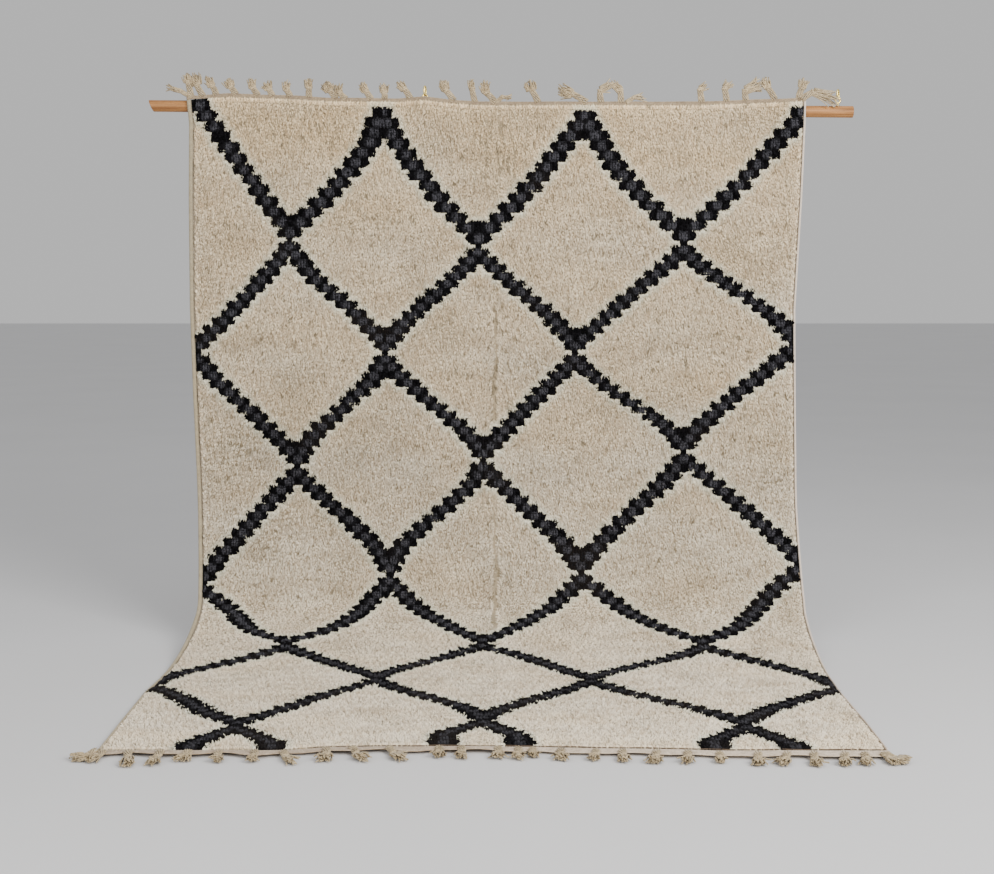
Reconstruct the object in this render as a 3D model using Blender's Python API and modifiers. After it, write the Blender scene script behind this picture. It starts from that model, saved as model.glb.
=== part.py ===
"""Hand-knotted wool rug, hung from a round wooden pole and swept forward onto the floor.

Metres, +Z up, the floor at Z = 0. The pile faces -Y where the rug hangs and +Z where it lies.
The origin is on the rug's underside, in the middle of the stretch that lies on the floor.
"""

import math

import bmesh
import bpy
import numpy as np
from mathutils import Vector

# ---------------------------------------------------------------- driving sizes
GAP = 0.0003  # left between pieces that touch
PILE = 0.012  # the cloth's thickness, foundation and pile together
PILE_MOST = 0.0135  # where the pile stands thickest
BAND = 0.0035  # the thickness of the flat-woven ends
TOP_BAND = 0.010  # the height of the flat-woven end above the pile
FRONT_BAND = 0.024  # the depth of the flat-woven end on the floor
HANG_Y = 0.770  # the back face of the hanging cloth

POLE_DIAMETER = 0.030
POLE_LEFT = Vector((-0.904, 1.4015))  # the centre of each end: across, height
POLE_RIGHT = Vector((0.931, 1.3860))
POLE_SLANT = 0.42  # the left end is sawn askew: across for each unit of height

WIRE = 0.0026  # the brass wire's diameter
EYE_RING = 0.0150  # outside
EYE_NECK = 0.0050  # from the collar to the ring
LINK_WIDTH = 0.0120  # outside
LINK_HEIGHT = 0.0260
COLLAR = (0.0080, 0.0015)  # diameter, thickness

# The cloth's back face, seen from the side, from the pole down to the front of the pile.
# forward, height
DRAPE = [
    (0.000, 1.4110),
    (0.000, 0.9500),
    (0.000, 0.5000),
    (0.005, 0.3600),
    (0.031, 0.2350),
    (0.062, 0.1350),
    (0.090, 0.0830),
    (0.135, 0.0580),
    (0.225, 0.0280),
    (0.330, 0.0085),
    (0.440, 0.0000),
    (0.500, 0.0000),
    (0.700, 0.0000),
    (1.035, 0.0000),
]
LANDS = 0.440  # forward of here the underside is flat on the floor

# How the side edges wander down the length of the cloth.
# along, left, right
EDGES = [
    (0.00, -0.801, 0.803),
    (0.25, -0.808, 0.796),
    (0.54, -0.811, 0.782),
    (0.78, -0.807, 0.790),
    (1.07, -0.799, 0.797),
    (1.32, -0.789, 0.810),
    (1.53, -0.797, 0.807),
    (1.75, -0.803, 0.796),
    (1.88, -0.811, 0.791),
    (2.12, -0.809, 0.793),
    (2.31, -0.806, 0.790),
]

# The top of the pile isn't level: how far it rises or sinks along the pole.
# across, rise
TOP_LINE = [
    (-0.81, 0.004),
    (-0.70, 0.011),
    (-0.52, 0.005),
    (-0.44, 0.000),
    (-0.26, -0.002),
    (-0.19, 0.003),
    (-0.12, -0.005),
    (-0.04, -0.010),
    (0.53, -0.010),
    (0.64, -0.006),
    (0.81, 0.000),
]
TOP_LINE_FADE = 0.30  # below this the rise has died away

# The front band stands off the floor in shallow waves between some of its tassels.
# across, lift
FRONT_LIFT = [
    (-0.82, 0.0060),
    (-0.76, 0.0010),
    (-0.70, 0.0045),
    (-0.62, 0.0030),
    (-0.50, 0.0035),
    (-0.40, 0.0010),
    (-0.30, 0.0050),
    (-0.16, 0.0015),
    (-0.04, 0.0050),
    (0.10, 0.0010),
    (0.30, 0.0030),
    (0.42, 0.0020),
    (0.62, 0.0040),
    (0.81, 0.0015),
]

# Soft waves of the hanging cloth, strongest where it starts to bend.
# across, forward
BELLY = [
    (-0.81, 0.000),
    (-0.62, 0.004),
    (-0.40, -0.002),
    (-0.18, 0.003),
    (0.00, -0.003),
    (0.22, 0.003),
    (0.46, -0.002),
    (0.66, 0.003),
    (0.81, 0.001),
]
# along, share of the belly
BELLY_SHARE = [(0.00, 0.0), (0.15, 0.0), (0.80, 0.6), (1.30, 1.0), (1.60, 0.3), (1.75, 0.0), (2.31, 0.0)]

# The crease of the cloth once folded down its middle: a parting in the pile.
CREASE_ACROSS = -0.005
CREASE_HALF_WIDTH = 0.022
CREASE_DEPTH = 0.0025
# along, share of the crease's depth
CREASE_SHARE = [(0.00, 0.2), (0.45, 0.5), (0.60, 1.0), (1.40, 1.0), (1.65, 0.3), (2.31, 0.1)]

# The tassels above the pole. Across and up from the root to the knot, and on to the tips.
# root, knot_across, knot_up, tip_across, tip_up, spread
TOP_TASSELS = [
    (-0.792, -0.032, 0.012, -0.072, 0.023, 0.014),
    (-0.797, -0.008, 0.040, -0.015, 0.059, 0.015),
    (-0.769, -0.014, 0.026, -0.026, 0.055, 0.030),
    (-0.726, -0.018, 0.018, -0.028, 0.036, 0.020),
    (-0.679, -0.017, 0.018, -0.028, 0.034, 0.020),
    (-0.620, -0.018, 0.020, -0.022, 0.038, 0.024),
    (-0.576, -0.020, 0.014, -0.028, 0.026, 0.022),
    (-0.527, -0.021, 0.018, -0.022, 0.038, 0.020),
    (-0.488, -0.003, 0.026, -0.006, 0.045, 0.023),
    (-0.383, -0.036, 0.016, -0.058, 0.032, 0.026),
    (-0.329, -0.016, 0.020, -0.030, 0.033, 0.018),
    (-0.302, 0.006, 0.018, 0.014, 0.033, 0.020),
    (-0.228, -0.017, 0.029, -0.040, 0.030, 0.016),
    (-0.113, -0.020, 0.024, -0.030, 0.049, 0.027),
    (-0.056, -0.012, 0.028, -0.018, 0.050, 0.014),
    (0.006, -0.026, 0.024, -0.042, 0.049, 0.034),
    (0.024, 0.016, 0.010, 0.040, 0.006, 0.008),
    (0.113, -0.020, 0.027, -0.027, 0.048, 0.034),
    (0.243, -0.032, 0.018, -0.070, 0.028, 0.028),
    (0.272, 0.003, 0.028, 0.026, 0.040, 0.018),
    (0.327, -0.008, 0.027, -0.008, 0.050, 0.020),
    (0.342, 0.024, 0.010, 0.056, 0.004, 0.010),
    (0.540, -0.008, 0.023, -0.010, 0.040, 0.024),
    (0.603, -0.010, 0.025, -0.003, 0.047, 0.022),
    (0.656, 0.000, 0.029, 0.026, 0.044, 0.020),
    (0.725, -0.020, 0.029, -0.018, 0.050, 0.020),
    (0.786, 0.008, 0.029, 0.014, 0.049, 0.026),
    (0.792, 0.034, 0.012, 0.068, 0.007, 0.016),
]

# The tassels on the floor. Across and forward from the root to the tips.
# root, tip_across, tip_forward, spread
FRONT_TASSELS = [
    (-0.800, -0.066, 0.030, 0.022),
    (-0.738, -0.006, 0.062, 0.028),
    (-0.678, -0.020, 0.062, 0.034),
    (-0.616, -0.016, 0.052, 0.030),
    (-0.544, -0.016, 0.044, 0.028),
    (-0.484, -0.002, 0.048, 0.028),
    (-0.430, 0.018, 0.058, 0.032),
    (-0.347, -0.002, 0.058, 0.030),
    (-0.294, 0.040, 0.054, 0.036),
    (-0.218, 0.034, 0.052, 0.034),
    (-0.114, -0.002, 0.030, 0.030),
    (-0.074, 0.004, 0.040, 0.030),
    (0.003, 0.002, 0.034, 0.030),
    (0.044, 0.004, 0.042, 0.028),
    (0.074, 0.006, 0.028, 0.024),
    (0.128, 0.006, 0.048, 0.034),
    (0.200, -0.010, 0.044, 0.028),
    (0.250, 0.000, 0.050, 0.028),
    (0.312, 0.004, 0.056, 0.034),
    (0.386, -0.010, 0.052, 0.034),
    (0.446, 0.000, 0.044, 0.026),
    (0.522, 0.002, 0.058, 0.032),
    (0.582, -0.014, 0.056, 0.032),
    (0.640, 0.002, 0.066, 0.032),
    (0.702, -0.006, 0.058, 0.034),
    (0.742, 0.010, 0.054, 0.028),
    (0.782, 0.056, 0.038, 0.036),
]

STALK = 0.0065  # a tassel's cord, across
KNOT = 0.0130
LOCKS = (-1.0, 0.0, 1.0)  # where the locks of a brush end, as shares of half its spread
LOCK_SHARE = 0.27  # a lock's width, as a share of the brush's spread
LOCK_LEAST = 0.0045
ROOT_DEPTH = 0.0030  # how far a cord reaches into its band

# (share of the length, how many rows up to there)
ROW_PLAN = [(0.010, 1), (0.520, 10), (0.700, 13), (0.990, 8), (1.000, 1)]
COLUMNS = 18  # evenly spaced across the cloth, besides those at its edges and crease
EDGE_COLUMN = 0.012  # in from each side edge

# piece: colour (linear), roughness, metallic
FINISHES = {
    "rug": ((0.56, 0.49, 0.39), 0.95, 0.0),
    "fringe_top": ((0.55, 0.46, 0.34), 0.95, 0.0),
    "fringe_front": ((0.55, 0.45, 0.32), 0.95, 0.0),
    "pole": ((0.42, 0.20, 0.09), 0.45, 0.0),
    "screw_eye": ((0.80, 0.62, 0.26), 0.30, 1.0),
    "chain_link": ((0.80, 0.62, 0.26), 0.30, 1.0),
}


# ---------------------------------------------------------------- the scene's bookkeeping
def clear_scene():
    """Removes the scene's objects."""
    for thing in list(bpy.data.objects):
        bpy.data.objects.remove(thing, do_unlink=True)


def new_collection(name):
    """A collection linked to the scene."""
    made = bpy.data.collections.new(name)
    bpy.context.scene.collection.children.link(made)
    return made


def place(thing, name, home):
    """Names an object and moves it into its collection."""
    thing.name = name
    thing.data.name = name
    for old in list(thing.users_collection):
        old.objects.unlink(thing)
    home.objects.link(thing)
    return thing


def finish(thing, kind):
    """Gives a piece its own material."""
    colour, roughness, metallic = FINISHES[kind]
    material = bpy.data.materials.new(thing.name)
    material.use_nodes = True
    shader = material.node_tree.nodes["Principled BSDF"]
    shader.inputs["Base Color"].default_value = (*colour, 1.0)
    shader.inputs["Roughness"].default_value = roughness
    shader.inputs["Metallic"].default_value = metallic
    thing.data.materials.clear()
    thing.data.materials.append(material)
    return thing


def hide_tool(thing):
    """Marks an object that only shapes another one."""
    thing.hide_render = True
    thing.display_type = "WIRE"
    return thing


# ---------------------------------------------------------------- the way the cloth hangs
def column(table, index):
    """One column of a table."""
    return [row[index] for row in table]


def read(table, at, index=1):
    """A table's value between its rows, by its first column."""
    return float(np.interp(at, column(table, 0), column(table, index)))


def smooth_curve(points, steps=24):
    """Points of a centripetal Catmull-Rom curve through the given points."""
    points = [np.array(p, float) for p in points]
    points = [2 * points[0] - points[1], *points, 2 * points[-1] - points[-2]]
    curve = []
    for before, start, end, after in zip(points, points[1:], points[2:], points[3:]):
        d0, d1, d2 = (
            math.sqrt(np.linalg.norm(b - a))
            for a, b in ((before, start), (start, end), (end, after))
        )
        leave = d1 * ((start - before) / d0 - (end - before) / (d0 + d1) + (end - start) / d1)
        arrive = d1 * ((end - start) / d1 - (after - start) / (d1 + d2) + (after - end) / d2)
        for step in range(steps):
            t = step / steps
            curve.append(
                (2 * t**3 - 3 * t**2 + 1) * start
                + (t**3 - 2 * t**2 + t) * leave
                + (3 * t**2 - 2 * t**3) * end
                + (t**3 - t**2) * arrive
            )
    return np.array([*curve, points[-2]])


DRAPE_CURVE = smooth_curve(DRAPE)
DRAPE_ALONG = np.concatenate([[0.0], np.cumsum(np.hypot(*np.diff(DRAPE_CURVE, axis=0).T))])
LENGTH = float(DRAPE_ALONG[-1])


def back_face(across, along):
    """A point of the cloth's back face."""
    forward = float(np.interp(along, DRAPE_ALONG, DRAPE_CURVE[:, 0]))
    height = float(np.interp(along, DRAPE_ALONG, DRAPE_CURVE[:, 1]))
    forward += read(BELLY, across) * read(BELLY_SHARE, along)
    height += read(TOP_LINE, across) * max(0.0, 1 - along / TOP_LINE_FADE)
    if forward >= LANDS:
        height = 0.0
    return Vector((across, HANG_Y - forward, max(height, 0.0)))


def across_at(share, along):
    """Where a share of the cloth's width, from 0 at the left to 1, lies across."""
    left, right = read(EDGES, along, 1), read(EDGES, along, 2)
    return left + share * (right - left)


def column_shares():
    """The shares of the width at which the cloth's columns of points run."""
    width = EDGES[0][2] - EDGES[0][1]
    middle = 0.5 + CREASE_ACROSS / width
    crease = [middle + side * CREASE_HALF_WIDTH / width for side in (-1, 0, 1)]
    even = [i / COLUMNS for i in range(1, COLUMNS)]
    clear = [s for s in even if min(abs(s - c) for c in crease) > 0.5 * CREASE_HALF_WIDTH / width]
    edge = EDGE_COLUMN / width
    return sorted([0.0, edge, *clear, *crease, 1 - edge, 1.0])


def row_shares():
    """The shares of the length at which the cloth's rows of points run."""
    shares = [0.0]
    for end, rows in ROW_PLAN:
        start = shares[-1]
        shares += [start + (end - start) * (i + 1) / rows for i in range(rows)]
    return shares


def pile_at(share, along):
    """How thick the cloth is: thinner at its edges and crease, and a little uneven."""
    across = across_at(share, along)
    lumps = 0.05 * math.sin(9 * across + 2 * along) + 0.04 * math.sin(5 * along - 4 * across + 1)
    thick = PILE * (1 + lumps)
    from_crease = min(1.0, abs(across - CREASE_ACROSS) / CREASE_HALF_WIDTH)
    thick -= CREASE_DEPTH * read(CREASE_SHARE, along) * (1 - from_crease)
    if share in (0.0, 1.0):
        thick *= 0.60
    if along in (0.0, LENGTH):
        thick *= 0.72
    return min(thick, PILE_MOST)


# ---------------------------------------------------------------- the rug
def make_rug(home):
    """The knotted field: a grid laid on the drape and thickened towards the pile."""
    columns, rows = column_shares(), row_shares()
    bpy.ops.mesh.primitive_grid_add(
        x_subdivisions=len(columns) - 1, y_subdivisions=len(rows) - 1, size=1.0
    )
    rug = place(bpy.context.object, "rug", home)
    group = rug.vertex_groups.new(name="pile")
    for vertex in rug.data.vertices:
        share = columns[round((vertex.co.x + 0.5) * (len(columns) - 1))]
        along = LENGTH * rows[round((0.5 - vertex.co.y) * (len(rows) - 1))]
        vertex.co = back_face(across_at(share, along), along)
        group.add([vertex.index], pile_at(share, along) / PILE_MOST, "REPLACE")
    shell = rug.modifiers.new("pile", "SOLIDIFY")
    shell.thickness = PILE_MOST
    shell.offset = 1.0
    shell.use_even_offset = True
    shell.vertex_group = group.name
    rug.data.shade_smooth()
    return finish(rug, "rug")


# ---------------------------------------------------------------- fringes
def loft(name, sections, home):
    """A closed four-sided bar through its sections, each (centre, half across, half through)."""
    shape = bmesh.new()
    rings = []
    for centre, aside, through in sections:
        corners = (centre - aside - through, centre + aside - through)
        corners += (centre + aside + through, centre - aside + through)
        rings.append([shape.verts.new(c) for c in corners])
    for ring, following in zip(rings, rings[1:]):
        for i in range(4):
            j = (i + 1) % 4
            shape.faces.new((ring[i], ring[j], following[j], following[i]))
    shape.faces.new(rings[0][::-1])
    shape.faces.new(rings[-1])
    bmesh.ops.recalc_face_normals(shape, faces=shape.faces)
    mesh = bpy.data.meshes.new(name)
    shape.to_mesh(mesh)
    shape.free()
    made = bpy.data.objects.new(name, mesh)
    home.objects.link(made)
    return made


def bar_section(point, run, width, thick, through):
    """A section at a point, square to the run, in the plane that through stands on."""
    aside = run.cross(through).normalized() * (width / 2)
    return point, aside, through * (thick / 2)


def tassel(name, root, knot, tip, spread, through, home, floor=None):
    """A cord with a knot, and the locks of its brush. On a floor each piece rests level on it."""

    def seated(point, thick):
        """On a floor, the point that puts a bar's underside level on it."""
        return point if floor is None else Vector((point.x, point.y, floor + thick / 2))

    stem, brush = (knot - root).normalized(), (tip - knot).normalized()
    side = brush.cross(through).normalized()
    start = root - stem * ROOT_DEPTH
    slim, fat = STALK * 0.8, KNOT * 0.7
    broad = max(LOCK_LEAST, spread * LOCK_SHARE)
    cord = [
        bar_section(start, stem, STALK, slim, through),
        bar_section(root + stem * 0.002, stem, STALK, slim, through),
        bar_section(seated(knot - stem * KNOT * 0.55, slim), stem, STALK, slim, through),
        bar_section(seated(knot, fat), stem, KNOT, fat, through),
        bar_section(seated(knot + brush * KNOT * 0.5, slim), brush, STALK, slim, through),
    ]
    made = [loft(name + "_cord", cord, home)]
    for number, share in enumerate(LOCKS):
        end = tip + side * (share * spread / 2) - brush * (abs(share) * spread * 0.16)
        neck = knot + side * (share * KNOT * 0.18)
        middle = neck.lerp(end, 0.5) + side * (share * spread * 0.06)
        run = end - neck
        lock = [
            bar_section(seated(neck, slim), run, STALK * 0.8, slim, through),
            bar_section(seated(middle, slim * 1.1), run, broad, slim * 1.1, through),
            bar_section(seated(end, slim * 0.7), run, broad * 0.8, slim * 0.7, through),
        ]
        made.append(loft(f"{name}_lock_{number}", lock, home))
    return made


def fuse(piece, tools):
    """Joins a band and everything in a collection of tools into one body."""
    for tool in tools.objects:
        hide_tool(tool)
    union = piece.modifiers.new("fringe", "BOOLEAN")
    union.operation = "UNION"
    union.operand_type = "COLLECTION"
    union.collection = tools
    union.solver = "EXACT"


def make_fringe_top(home):
    """The flat-woven end above the pile, with tassels that stand and lean over the pole."""
    through = Vector((0.0, 1.0, 0.0))
    middle_y = HANG_Y - BAND / 2
    rows = []
    for share in column_shares():
        foot = back_face(across_at(share, 0.0), 0.0).z + GAP
        centre = Vector((across_at(share, 0.0), middle_y, foot + TOP_BAND / 2))
        rows.append((centre, Vector((0.0, 0.0, TOP_BAND / 2)), through * (BAND / 2)))
    band = loft("fringe_top", rows, home)
    tools = new_collection("top_tassels")
    for number, (root, knot_x, knot_z, tip_x, tip_z, spread) in enumerate(TOP_TASSELS):
        level = back_face(root, 0.0).z + GAP + TOP_BAND
        foot = Vector((root, middle_y, level))
        knot = foot + Vector((knot_x, 0.0, knot_z))
        tip = foot + Vector((tip_x, 0.0, tip_z))
        tassel(f"top_tassel_{number}", foot, knot, tip, spread, through, tools)
    fuse(band, tools)
    return finish(band, "fringe_top")


def make_fringe_front(home):
    """The flat-woven end on the floor, with tassels that rest on it."""
    through = Vector((0.0, 0.0, 1.0))
    back = HANG_Y - DRAPE[-1][0] - GAP
    rows = []
    for share in column_shares():
        across = across_at(share, LENGTH)
        centre = Vector((across, back - FRONT_BAND / 2, BAND / 2))
        rows.append((centre, Vector((0.0, FRONT_BAND / 2, 0.0)), through * (BAND / 2)))
    band = loft("fringe_front", rows, home)
    for vertex in band.data.vertices:
        if vertex.co.y < back - FRONT_BAND / 2:
            vertex.co.z += read(FRONT_LIFT, vertex.co.x)
    tools = new_collection("front_tassels")
    for number, (root, tip_x, tip_forward, spread) in enumerate(FRONT_TASSELS):
        foot = Vector((root, back - FRONT_BAND, BAND / 2 + read(FRONT_LIFT, root)))
        tip = Vector((root + tip_x, foot.y - tip_forward, 0.0))
        knot = foot.lerp(tip, 0.42)
        tassel(f"front_tassel_{number}", foot, knot, tip, spread, through, tools, floor=0.0)
    fuse(band, tools)
    return finish(band, "fringe_front")


# ---------------------------------------------------------------- the pole and what it hangs from
def pole_height(across):
    """The height of the pole's centre line."""
    share = (across - POLE_LEFT.x) / (POLE_RIGHT.x - POLE_LEFT.x)
    return POLE_LEFT.y + share * (POLE_RIGHT.y - POLE_LEFT.y)


POLE_Y = HANG_Y + GAP + POLE_DIAMETER / 2


def make_pole(home):
    """A plain round pole, its left end sawn askew."""
    span = POLE_RIGHT - POLE_LEFT
    bpy.ops.mesh.primitive_cylinder_add(vertices=32, radius=POLE_DIAMETER / 2, depth=span.length)
    pole = place(bpy.context.object, "pole", home)
    for vertex in pole.data.vertices:
        end, height, through = vertex.co.z, vertex.co.x, vertex.co.y
        slant = POLE_SLANT * height if end < 0 else 0.0
        vertex.co = Vector((end - slant, through, height))
    pole.data.flip_normals()
    pole.location = ((POLE_LEFT.x + POLE_RIGHT.x) / 2, POLE_Y, (POLE_LEFT.y + POLE_RIGHT.y) / 2)
    pole.rotation_euler = (0.0, -math.atan2(span.y, span.x), 0.0)
    rim = pole.modifiers.new("rim", "BEVEL")
    rim.width = 0.0015
    rim.segments = 2
    rim.limit_method = "ANGLE"
    rim.angle_limit = math.radians(40)
    pole.data.shade_smooth()
    pole.data.set_sharp_from_angle(angle=math.radians(40))
    return finish(pole, "pole")


def make_screw_eye(name, across, home, tools):
    """A brass ring on a short neck and collar, seated on the pole."""
    seat = pole_height(across) + POLE_DIAMETER / 2 + GAP
    ring_radius = (EYE_RING - WIRE) / 2
    centre = seat + COLLAR[1] + EYE_NECK + EYE_RING / 2
    bpy.ops.mesh.primitive_torus_add(
        major_segments=20,
        minor_segments=8,
        major_radius=ring_radius,
        minor_radius=WIRE / 2,
        location=(across, POLE_Y, centre),
        rotation=(math.pi / 2, 0.0, 0.0),
    )
    eye = place(bpy.context.object, name, home)
    bpy.ops.mesh.primitive_cylinder_add(
        vertices=12,
        radius=WIRE * 0.55,
        depth=EYE_NECK + COLLAR[1] / 2 + WIRE * 0.5,
        location=(across, POLE_Y, seat + COLLAR[1] * 0.5 + (EYE_NECK + WIRE * 0.5) / 2),
    )
    neck = hide_tool(place(bpy.context.object, name + "_neck", tools))
    bpy.ops.mesh.primitive_cylinder_add(
        vertices=16,
        radius=COLLAR[0] / 2,
        depth=COLLAR[1],
        location=(across, POLE_Y, seat + COLLAR[1] / 2),
    )
    collar = hide_tool(place(bpy.context.object, name + "_collar", tools))
    for tool in (neck, collar):
        union = eye.modifiers.new(tool.name, "BOOLEAN")
        union.operation = "UNION"
        union.object = tool
        union.solver = "EXACT"
    eye.data.shade_smooth()
    eye.data.set_sharp_from_angle(angle=math.radians(40))
    finish(eye, "screw_eye")
    return centre + EYE_RING / 2


def make_chain_link(name, across, eye_top, home):
    """An oval brass link pulled up against the inside of its eye."""
    foot = eye_top - 2 * WIRE - GAP + WIRE / 2  # the centre of the link's lowest wire
    half_width, half_height = (LINK_WIDTH - WIRE) / 2, (LINK_HEIGHT - WIRE) / 2
    straight = half_height - half_width
    outline = []
    for step in range(24):
        turn = 2 * math.pi * step / 24
        lift = math.copysign(straight, math.sin(turn)) if step % 12 else 0.0
        outline.append((half_width * math.cos(turn), half_width * math.sin(turn) + lift))
    curve = bpy.data.curves.new(name, "CURVE")
    curve.dimensions = "3D"
    curve.bevel_depth = WIRE / 2
    curve.bevel_resolution = 2
    spline = curve.splines.new("POLY")
    spline.points.add(len(outline) - 1)
    for point, (forward, up) in zip(spline.points, outline):
        point.co = (across, POLE_Y + forward, foot + half_height + up, 1.0)
    spline.use_cyclic_u = True
    link = bpy.data.objects.new(name, curve)
    home.objects.link(link)
    finish(link, "chain_link")
    return foot - WIRE / 2 + LINK_HEIGHT


def main():
    clear_scene()
    parts = new_collection("hung_rug")
    tools = new_collection("joined_shapes")
    make_rug(parts)
    make_fringe_top(parts)
    make_fringe_front(parts)
    make_pole(parts)
    for place_name, across in (("middle", -0.188), ("end", 0.891)):
        top = make_screw_eye("screw_eye_" + place_name, across, parts, tools)
        make_chain_link("chain_link_" + place_name, across, top, parts)


main()
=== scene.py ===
"""The looks of a hand-knotted wool rug, hung from a wooden pole and swept forward onto the floor."""

import math

import bpy
import numpy as np
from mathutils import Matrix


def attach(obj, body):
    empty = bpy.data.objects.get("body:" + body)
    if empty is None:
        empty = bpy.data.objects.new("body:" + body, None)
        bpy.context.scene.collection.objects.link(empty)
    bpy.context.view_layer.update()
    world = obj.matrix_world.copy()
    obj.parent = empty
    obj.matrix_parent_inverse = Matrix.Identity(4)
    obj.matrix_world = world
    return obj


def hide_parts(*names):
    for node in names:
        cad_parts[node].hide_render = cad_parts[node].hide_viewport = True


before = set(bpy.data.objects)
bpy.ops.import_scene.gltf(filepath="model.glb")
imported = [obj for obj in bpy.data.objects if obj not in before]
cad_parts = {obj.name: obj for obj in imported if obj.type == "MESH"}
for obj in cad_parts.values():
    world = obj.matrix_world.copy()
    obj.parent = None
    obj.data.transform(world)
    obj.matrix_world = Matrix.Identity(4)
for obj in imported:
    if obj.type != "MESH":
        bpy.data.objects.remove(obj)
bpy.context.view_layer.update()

# ---------------------------------------------------------------- the foundation
# The rug's foundation: wool warps and wefts that the knots are tied on, woven by hand on a loom.
# It hangs from the pole, bends forward above the floor and lies on it. Its back shows the knots,
# each a small lump of cream or dark wool.
HANG_Y = 0.770  # the back of the hanging cloth
LANDS = 0.440  # forward of here the cloth is flat on the floor

# The cloth's back seen from the side, from the pole down to the front of the pile.
# forward, height
DRAPE = [
    (0.000, 1.4110),
    (0.000, 0.9500),
    (0.000, 0.5000),
    (0.005, 0.3600),
    (0.031, 0.2350),
    (0.062, 0.1350),
    (0.090, 0.0830),
    (0.135, 0.0580),
    (0.225, 0.0280),
    (0.330, 0.0085),
    (0.440, 0.0000),
    (0.500, 0.0000),
    (0.700, 0.0000),
    (1.035, 0.0000),
]

# How the side edges wander down the cloth.
# along, left, right
EDGES = [
    (0.00, -0.808, 0.804),
    (0.06, -0.803, 0.804),
    (0.25, -0.808, 0.799),
    (0.54, -0.811, 0.787),
    (0.78, -0.807, 0.793),
    (1.07, -0.799, 0.801),
    (1.32, -0.790, 0.813),
    (1.53, -0.797, 0.807),
    (1.75, -0.803, 0.796),
    (1.88, -0.811, 0.791),
    (2.12, -0.809, 0.793),
    (2.31, -0.806, 0.790),
]

# How far the top of the pile rises or sinks along the pole.
# across, rise
TOP_LINE = [
    (-0.81, 0.004),
    (-0.70, 0.011),
    (-0.52, 0.005),
    (-0.44, 0.000),
    (-0.26, -0.002),
    (-0.19, 0.003),
    (-0.12, -0.005),
    (-0.04, -0.010),
    (0.53, -0.010),
    (0.64, -0.006),
    (0.81, 0.000),
]
TOP_LINE_FADE = 0.30  # the rise fades out this far down the cloth

# Soft waves of the hanging cloth, strongest where it starts to bend.
# across, forward
BELLY = [
    (-0.81, 0.000),
    (-0.62, 0.004),
    (-0.40, -0.002),
    (-0.18, 0.003),
    (0.00, -0.003),
    (0.22, 0.003),
    (0.46, -0.002),
    (0.66, 0.003),
    (0.81, 0.001),
]
# along, share of the belly
BELLY_SHARE = [
    (0.00, 0.0),
    (0.15, 0.0),
    (0.80, 0.6),
    (1.30, 1.0),
    (1.60, 0.3),
    (1.75, 0.0),
    (2.31, 0.0),
]

# The front edge isn't straight: how far back the knotting ends in front.
# across, back
FRONT_PULL = [
    (-0.81, 0.000),
    (-0.43, 0.001),
    (-0.34, 0.020),
    (-0.14, 0.028),
    (0.02, 0.025),
    (0.09, 0.022),
    (0.21, 0.014),
    (0.37, 0.008),
    (0.44, 0.000),
    (0.81, 0.000),
]
PULLED_FROM = 2.10  # the pull sets in this far along


def column(table, index):
    """One column of a table."""
    return [row[index] for row in table]


def read(table, at, index=1):
    """A table's values between its rows, by its first column."""
    return np.interp(at, column(table, 0), column(table, index))


def smooth_curve(points, steps=24):
    """Points of a centripetal Catmull-Rom curve through the given points."""
    points = [np.array(p, float) for p in points]
    points = [2 * points[0] - points[1], *points, 2 * points[-1] - points[-2]]
    curve = []
    for before, start, end, after in zip(points, points[1:], points[2:], points[3:]):
        d0, d1, d2 = (
            math.sqrt(np.linalg.norm(b - a))
            for a, b in ((before, start), (start, end), (end, after))
        )
        leave = d1 * ((start - before) / d0 - (end - before) / (d0 + d1) + (end - start) / d1)
        arrive = d1 * ((end - start) / d1 - (after - start) / (d1 + d2) + (after - end) / d2)
        for step in range(steps):
            t = step / steps
            curve.append(
                (2 * t**3 - 3 * t**2 + 1) * start
                + (t**3 - 2 * t**2 + t) * leave
                + (3 * t**2 - 2 * t**3) * end
                + (t**3 - t**2) * arrive
            )
    return np.array([*curve, points[-2]])


SIDE_VIEW = smooth_curve(DRAPE)
SIDE_ALONG = np.concatenate([[0.0], np.cumsum(np.hypot(*np.diff(SIDE_VIEW, axis=0).T))])
LENGTH = SIDE_ALONG[-1]
SIDE_RUN = np.gradient(SIDE_VIEW, SIDE_ALONG, axis=0)
SIDE_RUN /= np.linalg.norm(SIDE_RUN, axis=1)[:, None]
OVERRUN = 0.05  # the curve carries straight on past both ends, for pile that leans over them


def past_ends(values, slopes):
    """Values along the cloth, carried on past both of its ends."""
    first, last = values[0] - OVERRUN * slopes[0], values[-1] + OVERRUN * slopes[-1]
    return np.concatenate([[first], values, [last]])


LONG_ALONG = past_ends(SIDE_ALONG, np.ones_like(SIDE_ALONG))
LONG_FORWARD = past_ends(SIDE_VIEW[:, 0], SIDE_RUN[:, 0])
LONG_HEIGHT = past_ends(SIDE_VIEW[:, 1], SIDE_RUN[:, 1])
LONG_OUT_FORWARD = past_ends(-SIDE_RUN[:, 1], np.zeros(len(SIDE_RUN)))
LONG_OUT_UP = past_ends(SIDE_RUN[:, 0], np.zeros(len(SIDE_RUN)))


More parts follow.
